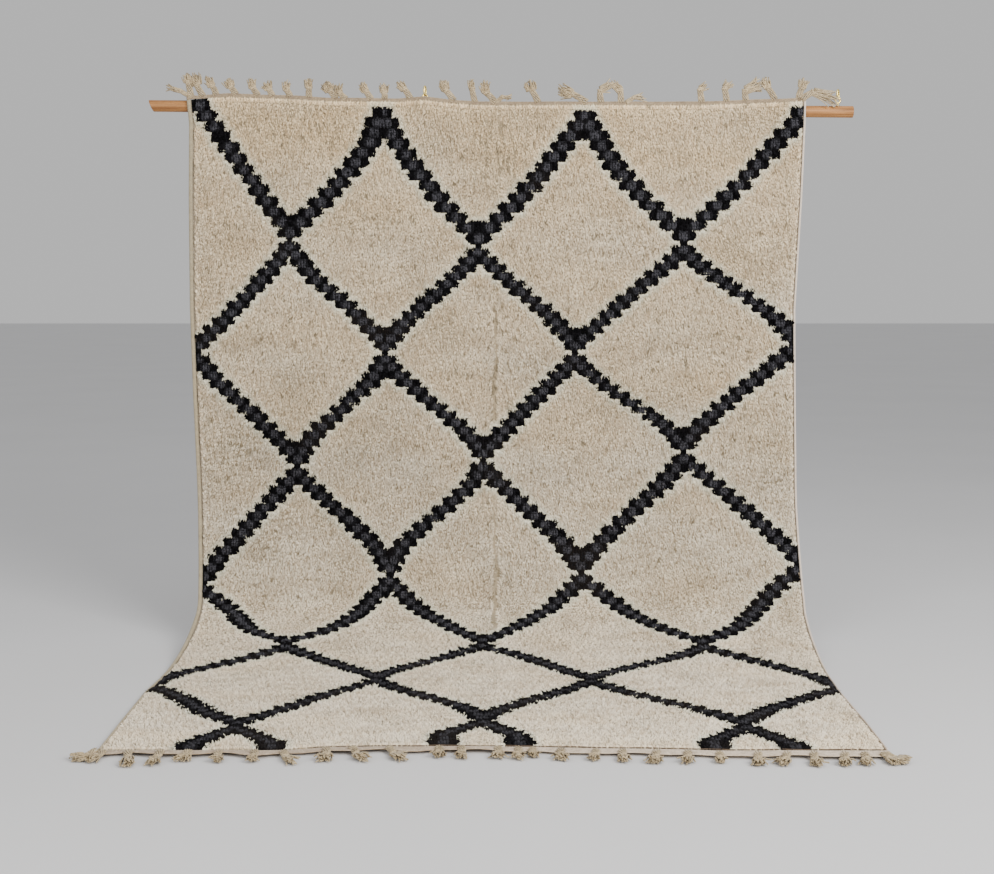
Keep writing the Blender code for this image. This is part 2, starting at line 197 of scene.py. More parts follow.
def on_cloth(across, along, lift):
    """Points at a lift above the cloth's back, square to it, towards the pile."""
    pulled = np.clip((along - PULLED_FROM) / (LENGTH - PULLED_FROM), 0, 1)
    along = along - read(FRONT_PULL, across) * pulled
    forward = np.interp(along, LONG_ALONG, LONG_FORWARD)
    forward = forward + read(BELLY, across) * read(BELLY_SHARE, along)
    height = np.interp(along, LONG_ALONG, LONG_HEIGHT)
    height = height + read(TOP_LINE, across) * np.clip(1 - along / TOP_LINE_FADE, 0, 1)
    height = np.where(forward >= LANDS, 0.0, np.maximum(height, 0.0))
    out_forward = np.interp(along, LONG_ALONG, LONG_OUT_FORWARD)
    out_up = np.interp(along, LONG_ALONG, LONG_OUT_UP)
    y = HANG_Y - forward - lift * out_forward
    return np.stack([across + 0 * y, y, height + lift * out_up], axis=-1)


def across_at(share, along):
    """Where a share of the cloth's width lies across."""
    left, right = read(EDGES, along, 1), read(EDGES, along, 2)
    return left + share * (right - left)


# The lattice is charted from where its lines cross, or turn at the cloth's edges.
# Each row holds its crossings: across, along
CROSSINGS = [
    [(-0.772, 0.002), (-0.300, 0.012), (0.231, 0.012), (0.797, 0.012)],
    [(-0.544, 0.356), (-0.049, 0.372), (0.490, 0.365)],
    [(-0.790, 0.650), (-0.296, 0.651), (0.206, 0.651), (0.780, 0.628)],
    [(-0.532, 0.953), (-0.037, 0.938), (0.497, 0.916)],
    [(-0.778, 1.268), (-0.285, 1.246), (0.224, 1.239), (0.797, 1.216)],
    [(-0.535, 1.508), (-0.037, 1.508), (0.523, 1.514)],
    [(-0.800, 1.828), (-0.284, 1.770), (0.222, 1.776), (0.786, 1.844)],
    [(-0.553, 2.150), (-0.030, 2.109), (0.527, 2.146)],
]
# How far each line bows sideways in its middle, from left to right, one row for each step from
# one row of crossings to the next.
BOWS = [
    (-0.003, 0.033, -0.025, 0.017, -0.030, 0.013),
    (0.008, -0.004, -0.005, 0.011, -0.003, 0.009),
    (0.001, 0.000, 0.007, -0.003, 0.003, -0.018),
    (-0.002, 0.014, -0.009, 0.008, 0.000, 0.009),
    (-0.014, 0.033, -0.008, 0.010, -0.005, 0.007),
    (-0.038, 0.011, -0.027, 0.026, -0.006, 0.044),
    (-0.001, -0.006, 0.014, -0.011, -0.002, -0.021),
]
# How much steeper each line runs near its two ends than in its middle.
SWAYS = [
    (0.001, 0.004, 0.000, -0.002, 0.000, -0.002),
    (0.000, 0.009, 0.006, 0.005, 0.002, 0.013),
    (0.005, 0.011, 0.009, 0.001, 0.013, 0.004),
    (-0.001, 0.007, 0.013, 0.004, 0.005, -0.001),
    (-0.018, -0.012, -0.002, -0.003, -0.008, -0.015),
    (0.011, 0.002, 0.007, -0.007, 0.010, 0.002),
    (-0.011, -0.005, 0.012, 0.008, 0.008, 0.002),
]
# How wide each line is beside the others.
WIDTHS = [
    (0.88, 1.07, 0.98, 1.04, 1.08, 1.00),
    (0.97, 0.97, 1.02, 0.98, 0.97, 1.08),
    (1.00, 1.00, 1.00, 1.00, 1.00, 1.05),
    (1.02, 1.00, 1.00, 1.03, 1.08, 1.04),
    (0.98, 1.00, 1.00, 0.92, 1.00, 1.07),
    (1.05, 1.08, 1.02, 1.02, 1.12, 1.08),
    (1.08, 0.92, 1.03, 1.05, 1.00, 1.14),
]
LINE_BLOCKS = 13  # blocks from one crossing to the next
BLOCK_ACROSS = 0.061
BLOCK_WIDTH_SLIP = 0.09  # how unevenly wide the blocks are, as a share of their width
BLOCK_SLIP = 0.002
PEAK_WIDTH = 0.84  # how wide the first block is where two lines meet at the rug's top
# The last legs, from the last row of crossings to the front: which crossing each starts from,
# where it meets the front, and how fast it gets there.
# crossing, across, haste
LEGS = [
    (0, -0.622, 1.15),
    (0, -0.458, 1.15),
    (1, -0.110, 1.70),
    (1, 0.046, 1.40),
    (2, 0.441, 1.35),
    (2, 0.603, 1.15),
]
LEG_BLOCKS = 7
NECK_ACROSS = 0.017  # the lines meet at a crossing in a narrow neck
NECK_ALONG = 0.013
TOP_CROSSINGS = 0.1  # crossings less far along than this lie at the rug's top
TURNS = 0.7  # crossings further out than this are turns at the cloth's edges
HANGING = 1.4  # crossings less far along than this are on the hanging part
# The small blocks round a crossing's neck: down from the crossing, half width, half height
HANGING_NECK = [(-0.044, 0.018, 0.014), (-0.059, 0.023, 0.008), (0.042, 0.008, 0.005)]
FLOOR_NECK = [(0.0, 0.015, 0.014)]

chart_seed = np.random.default_rng(11)
blocks = []  # across, along, half width, half height


def add_line(start, end, bow, sway, width, count=LINE_BLOCKS, haste=1.0):
    """Steps one line of blocks from a crossing down to another, or to the cloth's end."""
    first = start[1] + (NECK_ALONG / 2 if start[1] > TOP_CROSSINGS else 0.0)
    last = end[1] - (NECK_ALONG / 2 if end[1] < LENGTH else 0.0)
    tall = (last - first) / count
    for number in range(count):
        share = min(1.0, haste * number / (count - 1))
        across = start[0] + (end[0] - start[0]) * share + 4 * bow * share * (1 - share)
        across -= np.sign(end[0] - start[0]) * sway * math.sin(2 * math.pi * share)
        wide = BLOCK_ACROSS * width
        wide = wide * (1 + chart_seed.uniform(-BLOCK_WIDTH_SLIP, BLOCK_WIDTH_SLIP))
        if number == 0 and start[1] < TOP_CROSSINGS and abs(start[0]) < TURNS:
            wide *= PEAK_WIDTH
        slip = chart_seed.uniform(-BLOCK_SLIP, BLOCK_SLIP)
        blocks.append((across + slip, first + (number + 0.5) * tall, wide / 2, tall / 2))


for upper, lower, bows, sways, widths in zip(CROSSINGS, CROSSINGS[1:], BOWS, SWAYS, WIDTHS):
    for line in range(6):
        if len(upper) > len(lower):
            start, end = upper[(line + 1) // 2], lower[line // 2]
        else:
            start, end = upper[line // 2], lower[(line + 1) // 2]
        add_line(start, end, bows[line], sways[line], widths[line])
for crossing, end, haste in LEGS:
    add_line(CROSSINGS[-1][crossing], (end, LENGTH), 0.0, 0.0, 1.0, LEG_BLOCKS, haste)
for row in CROSSINGS[1:]:
    for across, along in row:
        blocks.append((across, along, NECK_ACROSS / 2, NECK_ALONG * 0.8))
        if abs(across) < TURNS:
            for down, half_width, half_height in HANGING_NECK if along < HANGING else FLOOR_NECK:
                blocks.append((across, along + down, half_width, half_height))

WIDE_BLOCK = 0.025  # a block with a greater half width than this is one of a line's own
BLOCK_PINCH = 0.23  # how much narrower such a block is at its top and foot than in its middle
NECK_PINCH = 0.05


def pinched(half_width, down):
    """Half a block's width at some way down it, from -1 to 1: blocks narrow towards their ends."""
    pinch = BLOCK_PINCH if half_width > WIDE_BLOCK else NECK_PINCH
    return half_width * (1 - pinch * np.clip(down, -1, 1) ** 2)


def read_chart(across, along):
    """Where points lie in the chart.

    Returns the block that each lies in, or -1, where it lies in its block from -1 to 1 across and
    along, and how far it is from the nearest block.
    """
    owner = np.full(len(across), -1)
    aside, down = np.zeros(len(across)), np.zeros(len(across))
    nearest, apart = np.full(len(across), 9.0), np.full(len(across), 1.0)
    for number, (middle_across, middle_along, half_width, half_height) in enumerate(blocks):
        block_down = (along - middle_along) / half_height
        room = pinched(half_width, block_down)
        block_aside = (across - middle_across) / room
        inside = (np.abs(block_aside) <= 1) & (np.abs(block_down) <= 1)
        better = inside & (np.abs(block_aside) < nearest)
        nearest = np.where(better, np.abs(block_aside), nearest)
        aside, down = np.where(better, block_aside, aside), np.where(better, block_down, down)
        owner = np.where(better, number, owner)
        beside = np.maximum(np.abs(across - middle_across) - room, 0)
        beyond = np.maximum(np.abs(along - middle_along) - half_height, 0)
        apart = np.minimum(apart, np.hypot(beside, beyond))
    return owner, aside, down, apart


def new_piece(name, points, polygons, tints=None):
    """A smooth mesh from arrays of points and of three- or four-cornered faces, with its tints."""
    mesh = bpy.data.meshes.new(name)
    mesh.vertices.add(len(points))
    mesh.vertices.foreach_set("co", np.ascontiguousarray(points, np.float32).ravel())
    corners = np.concatenate([p.ravel() for p in polygons]).astype(np.int32)
    sizes = np.concatenate([np.full(len(p), p.shape[1]) for p in polygons])
    mesh.loops.add(len(corners))
    mesh.loops.foreach_set("vertex_index", corners)
    mesh.polygons.add(len(sizes))
    starts = np.concatenate([[0], np.cumsum(sizes)[:-1]]).astype(np.int32)
    mesh.polygons.foreach_set("loop_start", starts)
    mesh.update(calc_edges=True)
    mesh.shade_smooth()
    if tints is not None:
        layer = mesh.color_attributes.new("wool", "FLOAT_COLOR", "POINT")
        layer.data.foreach_set("color", tints.astype(np.float32).ravel())
    made = bpy.data.objects.new(name, mesh)
    bpy.context.scene.collection.objects.link(made)
    return made


def new_material(name, roughness, sheen=0.0, specular=0.5, metallic=0.0):
    """A material with its shader's plain values set. Returns it with its node tree and shader."""
    material = bpy.data.materials.new(name)
    material.use_nodes = True
    shader = material.node_tree.nodes["Principled BSDF"]
    shader.inputs["Roughness"].default_value = roughness
    shader.inputs["Metallic"].default_value = metallic
    shader.inputs["Specular IOR Level"].default_value = specular
    shader.inputs["Sheen Weight"].default_value = sheen
    shader.inputs["Sheen Roughness"].default_value = 0.6
    return material, material.node_tree, shader


def new_group(name, inputs, outputs):
    """An empty group of shader nodes. Returns it with the sockets inside it.

    Each input has a name, a kind and a value, and each output a name and a kind.
    """
    group = bpy.data.node_groups.new(name, "ShaderNodeTree")
    for label, kind, value in inputs:
        socket = group.interface.new_socket(label, in_out="INPUT", socket_type="NodeSocket" + kind)
        socket.default_value = value
    for label, kind in outputs:
        group.interface.new_socket(label, in_out="OUTPUT", socket_type="NodeSocket" + kind)
    given, out = group.nodes.new("NodeGroupInput"), group.nodes.new("NodeGroupOutput")
    return group, given.outputs, out.inputs


def feed(tree, socket, value):
    """Links a socket to the one that feeds it, or sets it to a plain number, vector or colour."""
    if isinstance(value, bpy.types.NodeSocket):
        tree.links.new(value, socket)
    elif isinstance(value, tuple) and len(socket.default_value) > len(value):
        socket.default_value = (*value, 1.0)
    else:
        socket.default_value = value


def new_node(tree, kind, group=None, **inputs):
    """A shader node with some of its inputs fed, or a node that stands for a group."""
    node = tree.nodes.new("ShaderNode" + kind)
    if group is not None:
        node.node_tree = group
    for label, value in inputs.items():
        feed(tree, node.inputs[label], value)
    return node


def math_node(tree, operation, *values, clamp=False):
    """A Math node on sockets or numbers. Returns its output."""
    node = new_node(tree, "Math")
    node.operation = operation
    node.use_clamp = clamp
    for socket, value in zip(node.inputs, values):
        feed(tree, socket, value)
    return node.outputs[0]


def mix_colours(tree, share, first, second, blend="MIX"):
    """A colour mix of sockets or colours. Returns its output."""
    node = new_node(tree, "Mix")
    node.data_type = "RGBA"
    node.blend_type = blend
    sockets = {socket.identifier: socket for socket in node.inputs}
    feed(tree, sockets["Factor_Float"], share)
    feed(tree, sockets["A_Color"], first)
    feed(tree, sockets["B_Color"], second)
    return next(socket for socket in node.outputs if socket.identifier == "Result_Color")


def own_place(tree, stretch=None):
    """Where a point lies in its piece's own space, stretched along the axes if asked."""
    place = new_node(tree, "TexCoord").outputs["Object"]
    if stretch is None:
        return place
    node = new_node(tree, "VectorMath")
    node.operation = "MULTIPLY"
    feed(tree, node.inputs[0], place)
    feed(tree, node.inputs[1], stretch)
    return node.outputs[0]


def fibre_group():
    """Fine wool fibres, from noise in the piece's own space: a shade from 0 to 1, and a normal.

    Stretch is how fast the noise runs along each axis, so a small value draws fibres out along it.
    """
    group, given, out = new_group(
        "wool_fibres",
        [("Stretch", "Vector", (900.0, 900.0, 900.0)), ("Relief", "Float", 0.0004)],
        [("Shade", "Float"), ("Normal", "Vector")],
    )
    fine = new_node(group, "TexNoise", Vector=own_place(group, given["Stretch"]))
    fine.inputs["Scale"].default_value = 1.0
    fine.inputs["Detail"].default_value = 3.0
    fine.inputs["Roughness"].default_value = 0.6
    fine.inputs["Distortion"].default_value = 0.6
    shade = fine.outputs["Fac"]
    bump = new_node(group, "Bump", Strength=0.8, Distance=given["Relief"], Height=shade)
    feed(group, out["Shade"], math_node(group, "MULTIPLY_ADD", shade, 2.2, -0.6, clamp=True))
    feed(group, out["Normal"], bump.outputs["Normal"])
    return group


WOOL_FIBRES = fibre_group()
INK = (0.0014, 0.0013, 0.0015)
BACK_WOOL = (0.52, 0.42, 0.30)
BACK_WOOL_PALE = (0.80, 0.69, 0.53)
BACK_HOLLOW_SHADE = (0.42, 0.36, 0.28)
KNOT_PITCH = 0.008  # from one knot to the next


def back_material():
    """The rug's back: rows of small knot backs in cream and dark wool, with wefts between them."""
    material, tree, shader = new_material("knotted_back", 0.95, sheen=0.15, specular=0.15)
    knots = new_node(tree, "Attribute")
    knots.attribute_name = "knot"
    dark = new_node(tree, "SeparateColor", Color=knots.outputs["Color"]).outputs["Red"]
    fibres = new_node(tree, "Group", WOOL_FIBRES, Stretch=(700.0, 700.0, 700.0), Relief=0.0005)
    cream = mix_colours(tree, fibres.outputs["Shade"], BACK_WOOL, BACK_WOOL_PALE)
    colour = mix_colours(tree, dark, cream, INK)
    # two lumps for each knot, between wefts, with painted shade in the hollows between them
    flat = new_node(tree, "UVMap")
    flat.uv_map = "flat"
    where = new_node(tree, "SeparateXYZ", Vector=flat.outputs["UV"]).outputs
    waves = []
    for axis, rate in (("X", 2 * math.pi / KNOT_PITCH), ("Y", math.pi / KNOT_PITCH)):
        wave = math_node(tree, "SINE", math_node(tree, "MULTIPLY", where[axis], rate))
        waves.append(math_node(tree, "ABSOLUTE", wave))
    lumps = math_node(tree, "MULTIPLY", *waves)
    shaded = mix_colours(tree, math_node(tree, "POWER", lumps, 0.35), BACK_HOLLOW_SHADE, (1.0, 1.0, 1.0))
    colour = mix_colours(tree, 1.0, colour, shaded, "MULTIPLY")
    bump = new_node(tree, "Bump", Strength=0.9, Distance=0.0012, Height=lumps)
    feed(tree, bump.inputs["Normal"], fibres.outputs["Normal"])
    feed(tree, shader.inputs["Base Color"], colour)
    feed(tree, shader.inputs["Normal"], bump.outputs["Normal"])
    return material


def grid_faces(rows, columns):
    """The faces of a grid of points that is laid out row by row."""
    start = (np.arange(rows)[:, None] * (columns + 1) + np.arange(columns)).ravel()
    below = start + columns + 1
    return np.stack([start, below, below + 1, start + 1], axis=1)


BACK_COLUMNS = 144
BACK_ROWS = 206
BACK_LIFT = 0.0006  # how far the sheet lies above the cloth's back


def make_foundation():
    """The woven sheet itself, with the colour of the knots in its faces."""
    shares = np.linspace(0, 1, BACK_COLUMNS + 1)
    lengths = np.linspace(0, LENGTH, BACK_ROWS + 1)
    along, share = (grid.ravel() for grid in np.meshgrid(lengths, shares, indexing="ij"))
    across = across_at(share, along)
    points = on_cloth(across, along, BACK_LIFT)
    faces = grid_faces(BACK_ROWS, BACK_COLUMNS)
    sheet = new_piece("rug_foundation", points, [faces])
    flat = sheet.data.uv_layers.new(name="flat")
    corners = faces.ravel()
    uv = np.stack([across[corners], along[corners]], axis=1)
    flat.data.foreach_set("uv", uv.astype(np.float32).ravel())
    knot = sheet.data.color_attributes.new("knot", "FLOAT_COLOR", "CORNER")
    dark = read_chart(across[faces].mean(axis=1), along[faces].mean(axis=1))[0] >= 0
    dark = np.repeat(dark.astype(np.float32), 4)
    tint = np.stack([dark, dark, dark, np.ones_like(dark)], axis=1)
    knot.data.foreach_set("color", tint.astype(np.float32).ravel())
    sheet.data.materials.append(back_material())
    return sheet


foundation = make_foundation()
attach(foundation, "root")
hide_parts("rug")

# ---------------------------------------------------------------- the pile
# The pile: a tuft of cut wool on every knot, about 12 mm tall, undyed cream with dark lattice lines.
# The tufts lean down the rug, part along the crease where it was folded, and spread at the lines.
PILE = 0.0125  # how tall it stands
# How much of the cloth's left and right edges the side cords take.
# along, left, right
CORD_ROOM = [
    (0.00, 0.0170, 0.0100),
    (1.45, 0.0165, 0.0100),
    (1.80, 0.0090, 0.0080),
    (2.31, 0.0080, 0.0080),
]
CREASE_ACROSS = -0.005
CREASE_HALF_WIDTH = 0.009
CREASE_DEPTH = 0.0050
# along, share of the crease
CREASE_SHARE = [(0.00, 0.1), (0.45, 0.3), (0.60, 0.9), (1.40, 1.0), (1.65, 0.3), (2.31, 0.1)]

FIRM_SIDE = 0.006  # knots nearer the sides than this share of the width don't slip
FIRM_END = 0.012  # nor do those that lie nearer the ends than this

pile_seed = np.random.default_rng(23)


def field_sides(along):
    """Where the pile begins and ends across the cloth."""
    left = across_at(0.0, along) + read(CORD_ROOM, along)
    return left, across_at(1.0, along) - read(CORD_ROOM, along, 2)


def knots_in_rows(columns, rows, slip_across, slip_along):
    """Knots in rows over the whole cloth between its cords, each a little out of place."""
    row, column_number = np.meshgrid(np.arange(rows), np.arange(columns), indexing="ij")
    along = ((row + 0.5) * LENGTH / rows).ravel()
    step = (column_number + 0.5 + 0.25 * (-1.0) ** row).ravel() / columns
    left, right = field_sides(along)
    across = left + step * (right - left)
    inner = (step > FIRM_SIDE) & (step < 1 - FIRM_SIDE)
    across = across + inner * pile_seed.uniform(-slip_across, slip_across, len(across))
    inner = (along > FIRM_END) & (along < LENGTH - FIRM_END)
    along = along + inner * pile_seed.uniform(-slip_along, slip_along, len(along))
    return across, along


def knots_in_blocks(pitch_across, pitch_along):
    """Knots set out block by block, so that each block of the lattice keeps its own outline."""
    across, along, number = [], [], []
    for block, (middle_across, middle_along, half_width, half_height) in enumerate(blocks):
        wide = max(2, round(2 * half_width / pitch_across))
        tall = max(2, round(2 * half_height / pitch_along))
        steps_down = (np.arange(tall) + 0.5) / tall * 2 - 1
        steps_over = (np.arange(wide) + 0.5) / wide * 2 - 1
        down, over = (grid.ravel() for grid in np.meshgrid(steps_down, steps_over, indexing="ij"))
        across.append(middle_across + pinched(half_width, down) * over)
        along.append(middle_along + half_height * down)
        number.append(np.full(wide * tall, block))
    across, along, number = np.concatenate(across), np.concatenate(along), np.concatenate(number)
    left, right = field_sides(along)
    within = (across > left) & (across < right)
    return across[within], along[within], number[within]


HALO = 0.019  # the wool beside a dark line looks paler this far out
# Places where the pile opens down the cloth, in short upright partings.
# across, along, half across, half along, strength
UPRIGHT_PARTINGS = [
    (0.020, 0.150, 0.120, 0.190, 1.0),
    (-0.420, 0.120, 0.200, 0.120, 0.5),
    (0.500, 0.120, 0.240, 0.120, 0.4),
    (0.030, 0.480, 0.100, 0.100, 0.8),
    (0.020, 0.850, 0.070, 0.220, 0.7),
    (0.012, 0.800, 0.032, 0.090, 1.2),
    (0.000, 1.250, 0.070, 0.220, 0.8),
]
# Places where the rows of knots show as level partings.
LEVEL_PARTINGS = [
    (-0.350, 0.315, 0.110, 0.040, 0.8),
    (-0.730, 0.560, 0.080, 0.160, 0.8),
    (-0.700, 0.900, 0.120, 0.140, 0.9),
    (-0.620, 1.120, 0.130, 0.100, 1.0),
    (-0.180, 0.730, 0.110, 0.060, 0.6),
    (0.320, 0.760, 0.100, 0.060, 0.6),
    (0.120, 0.700, 0.100, 0.050, 0.6),
    (0.650, 0.800, 0.090, 0.140, 0.7),
    (0.720, 0.450, 0.070, 0.120, 0.6),
    (0.730, 1.000, 0.070, 0.120, 0.8),
    (-0.450, 1.090, 0.090, 0.060, 0.7),
]

NOISE_WAVES = 14
NOISE_REACH = 3.8  # what the waves add up to at most, nearly everywhere


def smooth_noise(across, along, size_across, size_along, seed):
    """Soft noise from -1 to 1 with lumps of about the given sizes."""
    waves = np.random.default_rng(seed)
    total = np.zeros_like(across)
    for _ in range(NOISE_WAVES):
        turn, phase = waves.uniform(0, 2 * math.pi, 2)
        rate = waves.uniform(0.6, 1.5) * math.pi
        total += np.sin(
            rate * (np.cos(turn) * across / size_across + np.sin(turn) * along / size_along) + phase
        )
    return total / NOISE_REACH


def strength_of(patches, across, along):
    """How strongly a list of patches works at each knot."""
    total = np.zeros_like(across)
    for middle_across, middle_along, half_across, half_along, strength in patches:
        far_across = (across - middle_across) / half_across
        far_along = (along - middle_along) / half_along
        total = np.maximum(total, strength * np.exp(-1.2 * (far_across**2 + far_along**2)))
    return total


def clump_seams(across, along):
    """Where the thin seams between clumps of wool run, from 0 to 1: they wander down the pile."""
    drift = 0.006 * smooth_noise(across, along, 0.024, 0.016, 20)
    lines = np.exp(-((smooth_noise(across + drift, along, 0.0070, 0.017, 19) / 0.15) ** 2))
    return lines * np.clip(0.45 + 0.9 * smooth_noise(across, along, 0.016, 0.016, 21), 0, 1)


# Lumps in the pile's height.
# share of the height, size across, size along, seed
HEIGHT_LUMPS = [
    (0.04, 0.0300, 0.030, 5),
    (0.03, 0.0120, 0.012, 6),
    (0.07, 0.0058, 0.016, 18),
]
SEAM_DEPTH = 0.10  # as a share of the height
SIDE_SLOPE = 0.012  # the pile falls off towards the cloth's sides over this width
END_SLOPE = 0.016


def pile_height(across, along):
    """How tall the pile stands: lower at the cloth's edges and in its crease, a little uneven."""
    broad = 1 + 0.05 * np.sin(9 * across + 2 * along)
    tall = PILE * (broad + 0.04 * np.sin(5 * along - 4 * across + 1))
    for share, size_across, size_along, seed in HEIGHT_LUMPS:
        tall *= 1 + share * smooth_noise(across, along, size_across, size_along, seed)
    tall *= 1 - SEAM_DEPTH * clump_seams(across, along)
    off_crease = np.clip(np.abs(across - CREASE_ACROSS) / CREASE_HALF_WIDTH, 0, 1)
    tall -= CREASE_DEPTH * read(CREASE_SHARE, along) * (1 - off_crease)
    left, right = field_sides(along)
    from_side = np.minimum(across - left, right - across)
    from_end = np.minimum(along, LENGTH - along)
    tall *= 0.72 + 0.28 * np.clip(from_side / SIDE_SLOPE, 0, 1)
    tall *= 0.78 + 0.22 * np.clip(from_end / END_SLOPE, 0, 1)
    return tall


LEAN = 0.0085  # how far a lock's tip leans down the rug
LEAN_SCATTER = (0.0010, 0.0014)  # across and along
FLOOR_LEAN = 0.0040  # how much less it leans from the bend on
BEND_AT = 1.35
# How far locks lean away from each kind of parting, and how dark it gets there.
PARTING_LEAN, PARTING_SHADE = 0.0034, 0.60
SHELF_LEAN, SHELF_SHADE = 0.0030, 0.70
CREASE_LEAN, CREASE_SHADE = 0.0058, 0.95
# How neighbouring locks lean together.
# lean across, lean along, size across, size along, seed
SHARED_LEANS = [
    (0.0012, 0.0, 0.035, 0.060, 7),
    (0.0, 0.0010, 0.060, 0.035, 8),
    (0.0018, 0.0, 0.007, 0.022, 16),
    (0.0, 0.0012, 0.007, 0.018, 17),
]
# Waves in the crease's line down the rug: how far they reach, how fast they run, where they start.
CREASE_WAVES = [(0.003, 22, 0), (0.002, 57, 1), (0.0012, 210, 0)]


def tuft_leans(across, along):
    """How far each lock's tip leans, across and along, and how well the light reaches it."""
    lean_across = pile_seed.normal(0, LEAN_SCATTER[0], len(across))
    lean_along = LEAN + pile_seed.normal(0, LEAN_SCATTER[1], len(across))
    lean_along = lean_along - FLOOR_LEAN * (along > BEND_AT)
    for over, down, size_across, size_along, seed in SHARED_LEANS:
        drift = smooth_noise(across, along, size_across, size_along, seed)
        lean_across += over * drift
        lean_along += down * drift
    shade = 1 - (0.70 - 0.30 * (along > 1.55)) * clump_seams(across, along)
    upright = strength_of(UPRIGHT_PARTINGS, across, along)
    parting = smooth_noise(across, along, 0.011, 0.060, 9)
    opening = smooth_noise(across + 0.001, along, 0.011, 0.060, 9) > parting
    lean_across += PARTING_LEAN * upright * np.clip(parting * 1.6, -1, 1)
    shade -= PARTING_SHADE * upright * opening * np.exp(-((parting / 0.22) ** 2))
    level = strength_of(LEVEL_PARTINGS, across, along)
    shelf = smooth_noise(across, along, 0.050, 0.008, 10)
    opening = smooth_noise(across, along + 0.001, 0.050, 0.008, 10) > shelf
    lean_along += SHELF_LEAN * level * np.clip(shelf * 1.6, -1, 1)
    shade -= SHELF_SHADE * level * opening * np.exp(-((shelf / 0.22) ** 2))
    crease = read(CREASE_SHARE, along)
    wander = sum(reach * np.sin(rate * along + start) for reach, rate, start in CREASE_WAVES)
    from_crease = (across - CREASE_ACROSS - wander) / 0.012
    away = np.sign(from_crease) * np.exp(-np.abs(from_crease) * 0.7)
    lean_across += CREASE_LEAN * crease * away
    broken = np.clip(0.55 + 0.7 * smooth_noise(0 * across, along, 0.05, 0.045, 22), 0.15, 1)
    shade -= CREASE_SHADE * crease * broken * np.exp(-((from_crease / 0.25) ** 2))
    from_end = np.minimum(along, LENGTH - along)
    lean_along *= np.clip(from_end / 0.012, 0.3, 1)
    return lean_across, lean_along, np.clip(shade, 0, 1)


LOCK_SIDES = 3


def make_locks(name, across, along, tints, girth, flat, leans, uneven, rings):
    """One mesh of three-sided locks of wool, each closing to a soft tip.

    Tints hold each lock's tone, its share of the halo in the cream and of the grey highlight in the
    dark, and its warmth. Each point also carries its height up the lock times the leans' shade, which
    paints the lock darker towards its root, as painted shade. Girth is a lock's radius, and flat how
    much thicker it is down the rug. Uneven is how much the heights vary. Rings are the cuts through a
    lock below its tip: each one's share of the height, and of the girth.
    """
    count = len(across)
    tall = pile_height(across, along) * (1 + uneven * np.clip(pile_seed.normal(0, 1, count), -2, 1.3))
    lean_across, lean_along, shade = leans
    turn = pile_seed.uniform(0, 2 * math.pi, count)
    swell = girth * (1 + pile_seed.normal(0, 0.10, count))
    points, colours = [], []
    for up, width in rings:
        bend = (up - rings[0][0]) / (1 - rings[0][0])
        for side in range(LOCK_SIDES):
            angle = turn + 2 * math.pi * side / LOCK_SIDES
            ring_across = across + lean_across * bend**1.4 + swell * width * np.cos(angle)
            ring_along = along + lean_along * bend**1.4 + swell * width * flat * np.sin(angle)
            points.append(on_cloth(ring_across, ring_along, tall * up))
            colours.append(np.stack([tints[0], up * shade, tints[1], tints[2]], axis=1))
    points.append(on_cloth(across + lean_across, along + lean_along, tall))
    colours.append(np.stack([tints[0], shade, tints[1], tints[2]], axis=1))
    per_lock = len(points)
    base = np.arange(count)[:, None] * per_lock
    last = LOCK_SIDES * (len(rings) - 1)
    quads, caps = [], []
    for side in range(LOCK_SIDES):
        after = (side + 1) % LOCK_SIDES
        for ring in range(0, last, LOCK_SIDES):
            here = ring + side
            beside = ring + after
            quads.append(base + np.array([here, beside, beside + LOCK_SIDES, here + LOCK_SIDES]))
        caps.append(base + np.array([last + side, last + after, per_lock - 1]))
    points = np.stack(points, axis=1).reshape(-1, 3)
    colours = np.stack(colours, axis=1).reshape(-1, 4)
    polygons = [np.concatenate(group) for group in (quads, caps) if group]
    return new_piece(name, points, polygons, colours)


def specks_group():
    """Dark curls and specks, painted shade where wool parts, more in some places: a 0 to 1 mask."""
    group, given, out = new_group(
        "wool_specks_and_gap_shade",
        [("Stretch", "Vector", (380.0, 290.0, 230.0)), ("Level", "Float", 0.60)],
        [("Mask", "Float")],
    )
    curls = new_node(group, "TexNoise", Vector=own_place(group, given["Stretch"]))
    curls.inputs["Scale"].default_value = 1.0
    curls.inputs["Detail"].default_value = 1.5
    curls.inputs["Distortion"].default_value = 1.4
    patches = new_node(group, "TexNoise", Vector=own_place(group), Scale=6.0, Detail=1.0)
    level = math_node(group, "MULTIPLY_ADD", patches.outputs["Fac"], 0.35, -0.175)
    level = math_node(group, "ADD", level, given["Level"])
    above = math_node(group, "SUBTRACT", curls.outputs["Fac"], level)
    feed(group, out["Mask"], math_node(group, "MULTIPLY", above, 14.0, clamp=True))
    return group


WOOL_SPECKS_AND_GAP_SHADE = specks_group()


